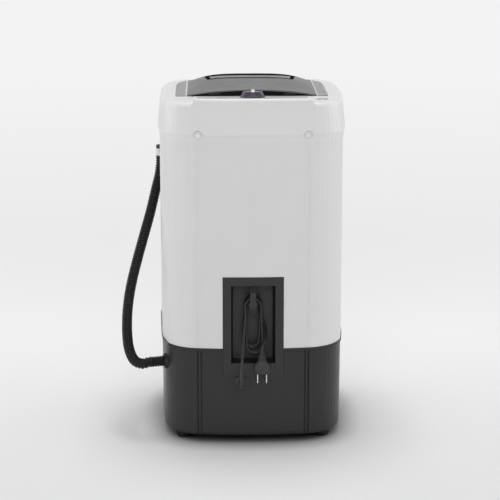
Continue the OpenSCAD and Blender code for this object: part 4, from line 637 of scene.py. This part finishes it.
badge = Mat("bare_oval_plate", 0.25, 0.3)
badge.colour(badge.ramp(badge.noise(140, 5), [(0.3, (0.43, 0.43, 0.44)), (0.7, (0.51, 0.51, 0.52))]))
OVAL = ((1.0, 0.0000), (1.0, 0.0007), (0.94, 0.0010), (0.86, 0.0010), (0.83, 0.0006), (0.0001, 0.0006))
OVAL_X, OVAL_Y, OVAL_Z, OVAL_A, OVAL_B, OVAL_SIDES = -0.128, 0.112, 0.6400, 0.0105, 0.0085, 48
verts, faces = [], []
for r, z in OVAL:
    for k in range(OVAL_SIDES):
        a = 2 * math.pi * k / OVAL_SIDES
        verts.append(Vector((OVAL_X + OVAL_A * r * math.cos(a), OVAL_Y + OVAL_B * r * math.sin(a), OVAL_Z + z)))
for i in range(len(OVAL) - 1):
    a, b = i * OVAL_SIDES, (i + 1) * OVAL_SIDES
    faces += [(a + k, a + (k + 1) % OVAL_SIDES, b + (k + 1) % OVAL_SIDES, b + k) for k in range(OVAL_SIDES)]
faces.append(tuple(range(OVAL_SIDES))[::-1])
faces.append(tuple((len(OVAL) - 1) * OVAL_SIDES + k for k in range(OVAL_SIDES)))
mesh_object("oval_plate", verts, faces, badge, "housing")

# the knob's fin is a light insert on the dark disc: its faces above the disc take the light plastic
knob = nodes["timer_knob"]
knob.data.materials.append(fin_grey.m)
back = console.inverted()
for p in knob.data.polygons:
    c = back @ p.center
    if c.z > 0.0109 and abs(c.x) < 0.0031:
        p.material_index = 1

# ---------------------------------------------------------------- floor, backdrop, light
# The floor is lit near the part; its colour is painted darker towards the camera and darkened by a painted contact
# shadow close to the part. Far out, floor and wall glow for camera and glossy rays; high up the wall is dark.
floor_mat = Mat("studio_floor", 0.6, spec=0.1)
# painted shade: the floor's colour darkens towards the camera
depth = floor_mat.ramp(floor_mat.math("ADD", floor_mat.math("MULTIPLY", floor_mat.axis(1), -0.25), 0.5), [
    (0.0, 0.72), (0.36, 0.72), (0.52, 0.80), (0.68, 0.86), (0.86, 0.88)], "EASE")
# painted contact shadow: an ambient-occlusion node darkens the floor's colour close to the part
close = floor_mat.node("ShaderNodeAmbientOcclusion", Distance=0.05)
close.samples = 8
painted_contact_shadow = floor_mat.math("POWER", close.outputs["AO"], 0.9)
floor_mat.colour(floor_mat.mix(1.0, floor_mat.mix(0.03, depth, floor_mat.noise(0.8, 3)), painted_contact_shadow, "MULTIPLY"))
light_path = floor_mat.t.nodes.new("ShaderNodeLightPath")
ground = floor_mat.node("ShaderNodeMapping", Vector=floor_mat.pos, Scale=(0.1, 0.1, 0.0))
away = floor_mat.t.nodes.new("ShaderNodeVectorMath")
away.operation = "LENGTH"
floor_mat.put(away.inputs[0], ground.outputs[0])
far = floor_mat.ramp(away.outputs["Value"], [(0.04, 0.0), (0.22, 1.0)], "EASE")
rising = floor_mat.ramp(floor_mat.math("MULTIPLY", floor_mat.axis(2), 0.2), [(0.34, 1.0), (0.42, 0.27), (0.9, 0.14)])
seen = floor_mat.mix(1.0, floor_mat.ramp(away.outputs["Value"], [(0.20, 0.84), (0.36, 0.875), (0.5, 0.895)]), rising,
                     "MULTIPLY")
glow = floor_mat.node("ShaderNodeEmission", Strength=1.0)
floor_mat.put(glow.inputs["Color"], seen)
shade = floor_mat.t.nodes.new("ShaderNodeMixShader")
shown = floor_mat.math("MAXIMUM", light_path.outputs["Is Camera Ray"], light_path.outputs["Is Glossy Ray"])
floor_mat.put(shade.inputs[0], floor_mat.math("MULTIPLY", shown, far))
floor_mat.t.links.new(floor_mat.b.outputs[0], shade.inputs[1])
floor_mat.t.links.new(glow.outputs[0], shade.inputs[2])
floor_mat.t.links.new(shade.outputs[0], floor_mat.out.inputs[0])


def turned_stage(name, profile, sides=96):
    """A stage surface turned about the vertical: floor disc or backdrop wall."""
    verts, faces = [], []
    for rad, z in profile:
        for k in range(sides):
            a = 2 * math.pi * k / sides
            verts.append((rad * math.cos(a), rad * math.sin(a), z))
    for i in range(len(profile) - 1):
        a, b = i * sides, (i + 1) * sides
        faces += [(a + k, a + (k + 1) % sides, b + (k + 1) % sides, b + k) for k in range(sides)]
    me = bpy.data.meshes.new(name)
    me.from_pydata(verts, [], faces)
    me.materials.append(floor_mat.m)
    for p in me.polygons:
        p.use_smooth = True
    obj = bpy.data.objects.new(name, me)
    scene.collection.objects.link(obj)
    return obj


FLOOR_R, CURVE_R, CURVE_STEPS, WALL_TOP = 5.5, 2.0, 12, 9.0
curve = []
for k in range(CURVE_STEPS + 1):
    a = math.pi / 2 * k / CURVE_STEPS
    curve.append((FLOOR_R + CURVE_R * math.sin(a), CURVE_R - CURVE_R * math.cos(a)))
turned_stage("studio_floor", [(0.001, 0.0), (1.0, 0.0), (3.0, 0.0), (FLOOR_R, 0.0)])
wall = turned_stage("studio_wall", curve + [(FLOOR_R + CURVE_R, WALL_TOP)])
wall.visible_diffuse = wall.visible_shadow = False

world = bpy.data.worlds.new("studio")
world.use_nodes = True
scene.world = world
world.node_tree.nodes["Background"].inputs[0].default_value = (0.93, 0.93, 0.93, 1)
world.node_tree.nodes["Background"].inputs[1].default_value = 0.53


def lamp(name, place, target, size, power):
    data = bpy.data.lights.new(name, "AREA")
    data.shape, data.size, data.size_y, data.energy = "RECTANGLE", size[0], size[1], power
    obj = bpy.data.objects.new(name, data)
    obj.location = place
    obj.rotation_mode = "QUATERNION"
    obj.rotation_quaternion = (Vector(target) - Vector(place)).to_track_quat("-Z", "Y")
    obj.visible_camera = False
    scene.collection.objects.link(obj)


lamp("side_left", (2.9, -0.4, 1.1), (0, 0, 0.34), (2.4, 1.6), 24)
lamp("side_right", (-2.9, -0.4, 1.1), (0, 0, 0.34), (2.4, 1.6), 24)
lamp("front", (0, 4.2, 2.4), (0, 0, 0.4), (3.0, 1.8), 58)
lamp("top", (0, -0.35, 3.2), (0, 0, 0), (1.1, 1.1), 38)

scene.view_settings.view_transform = "Standard"
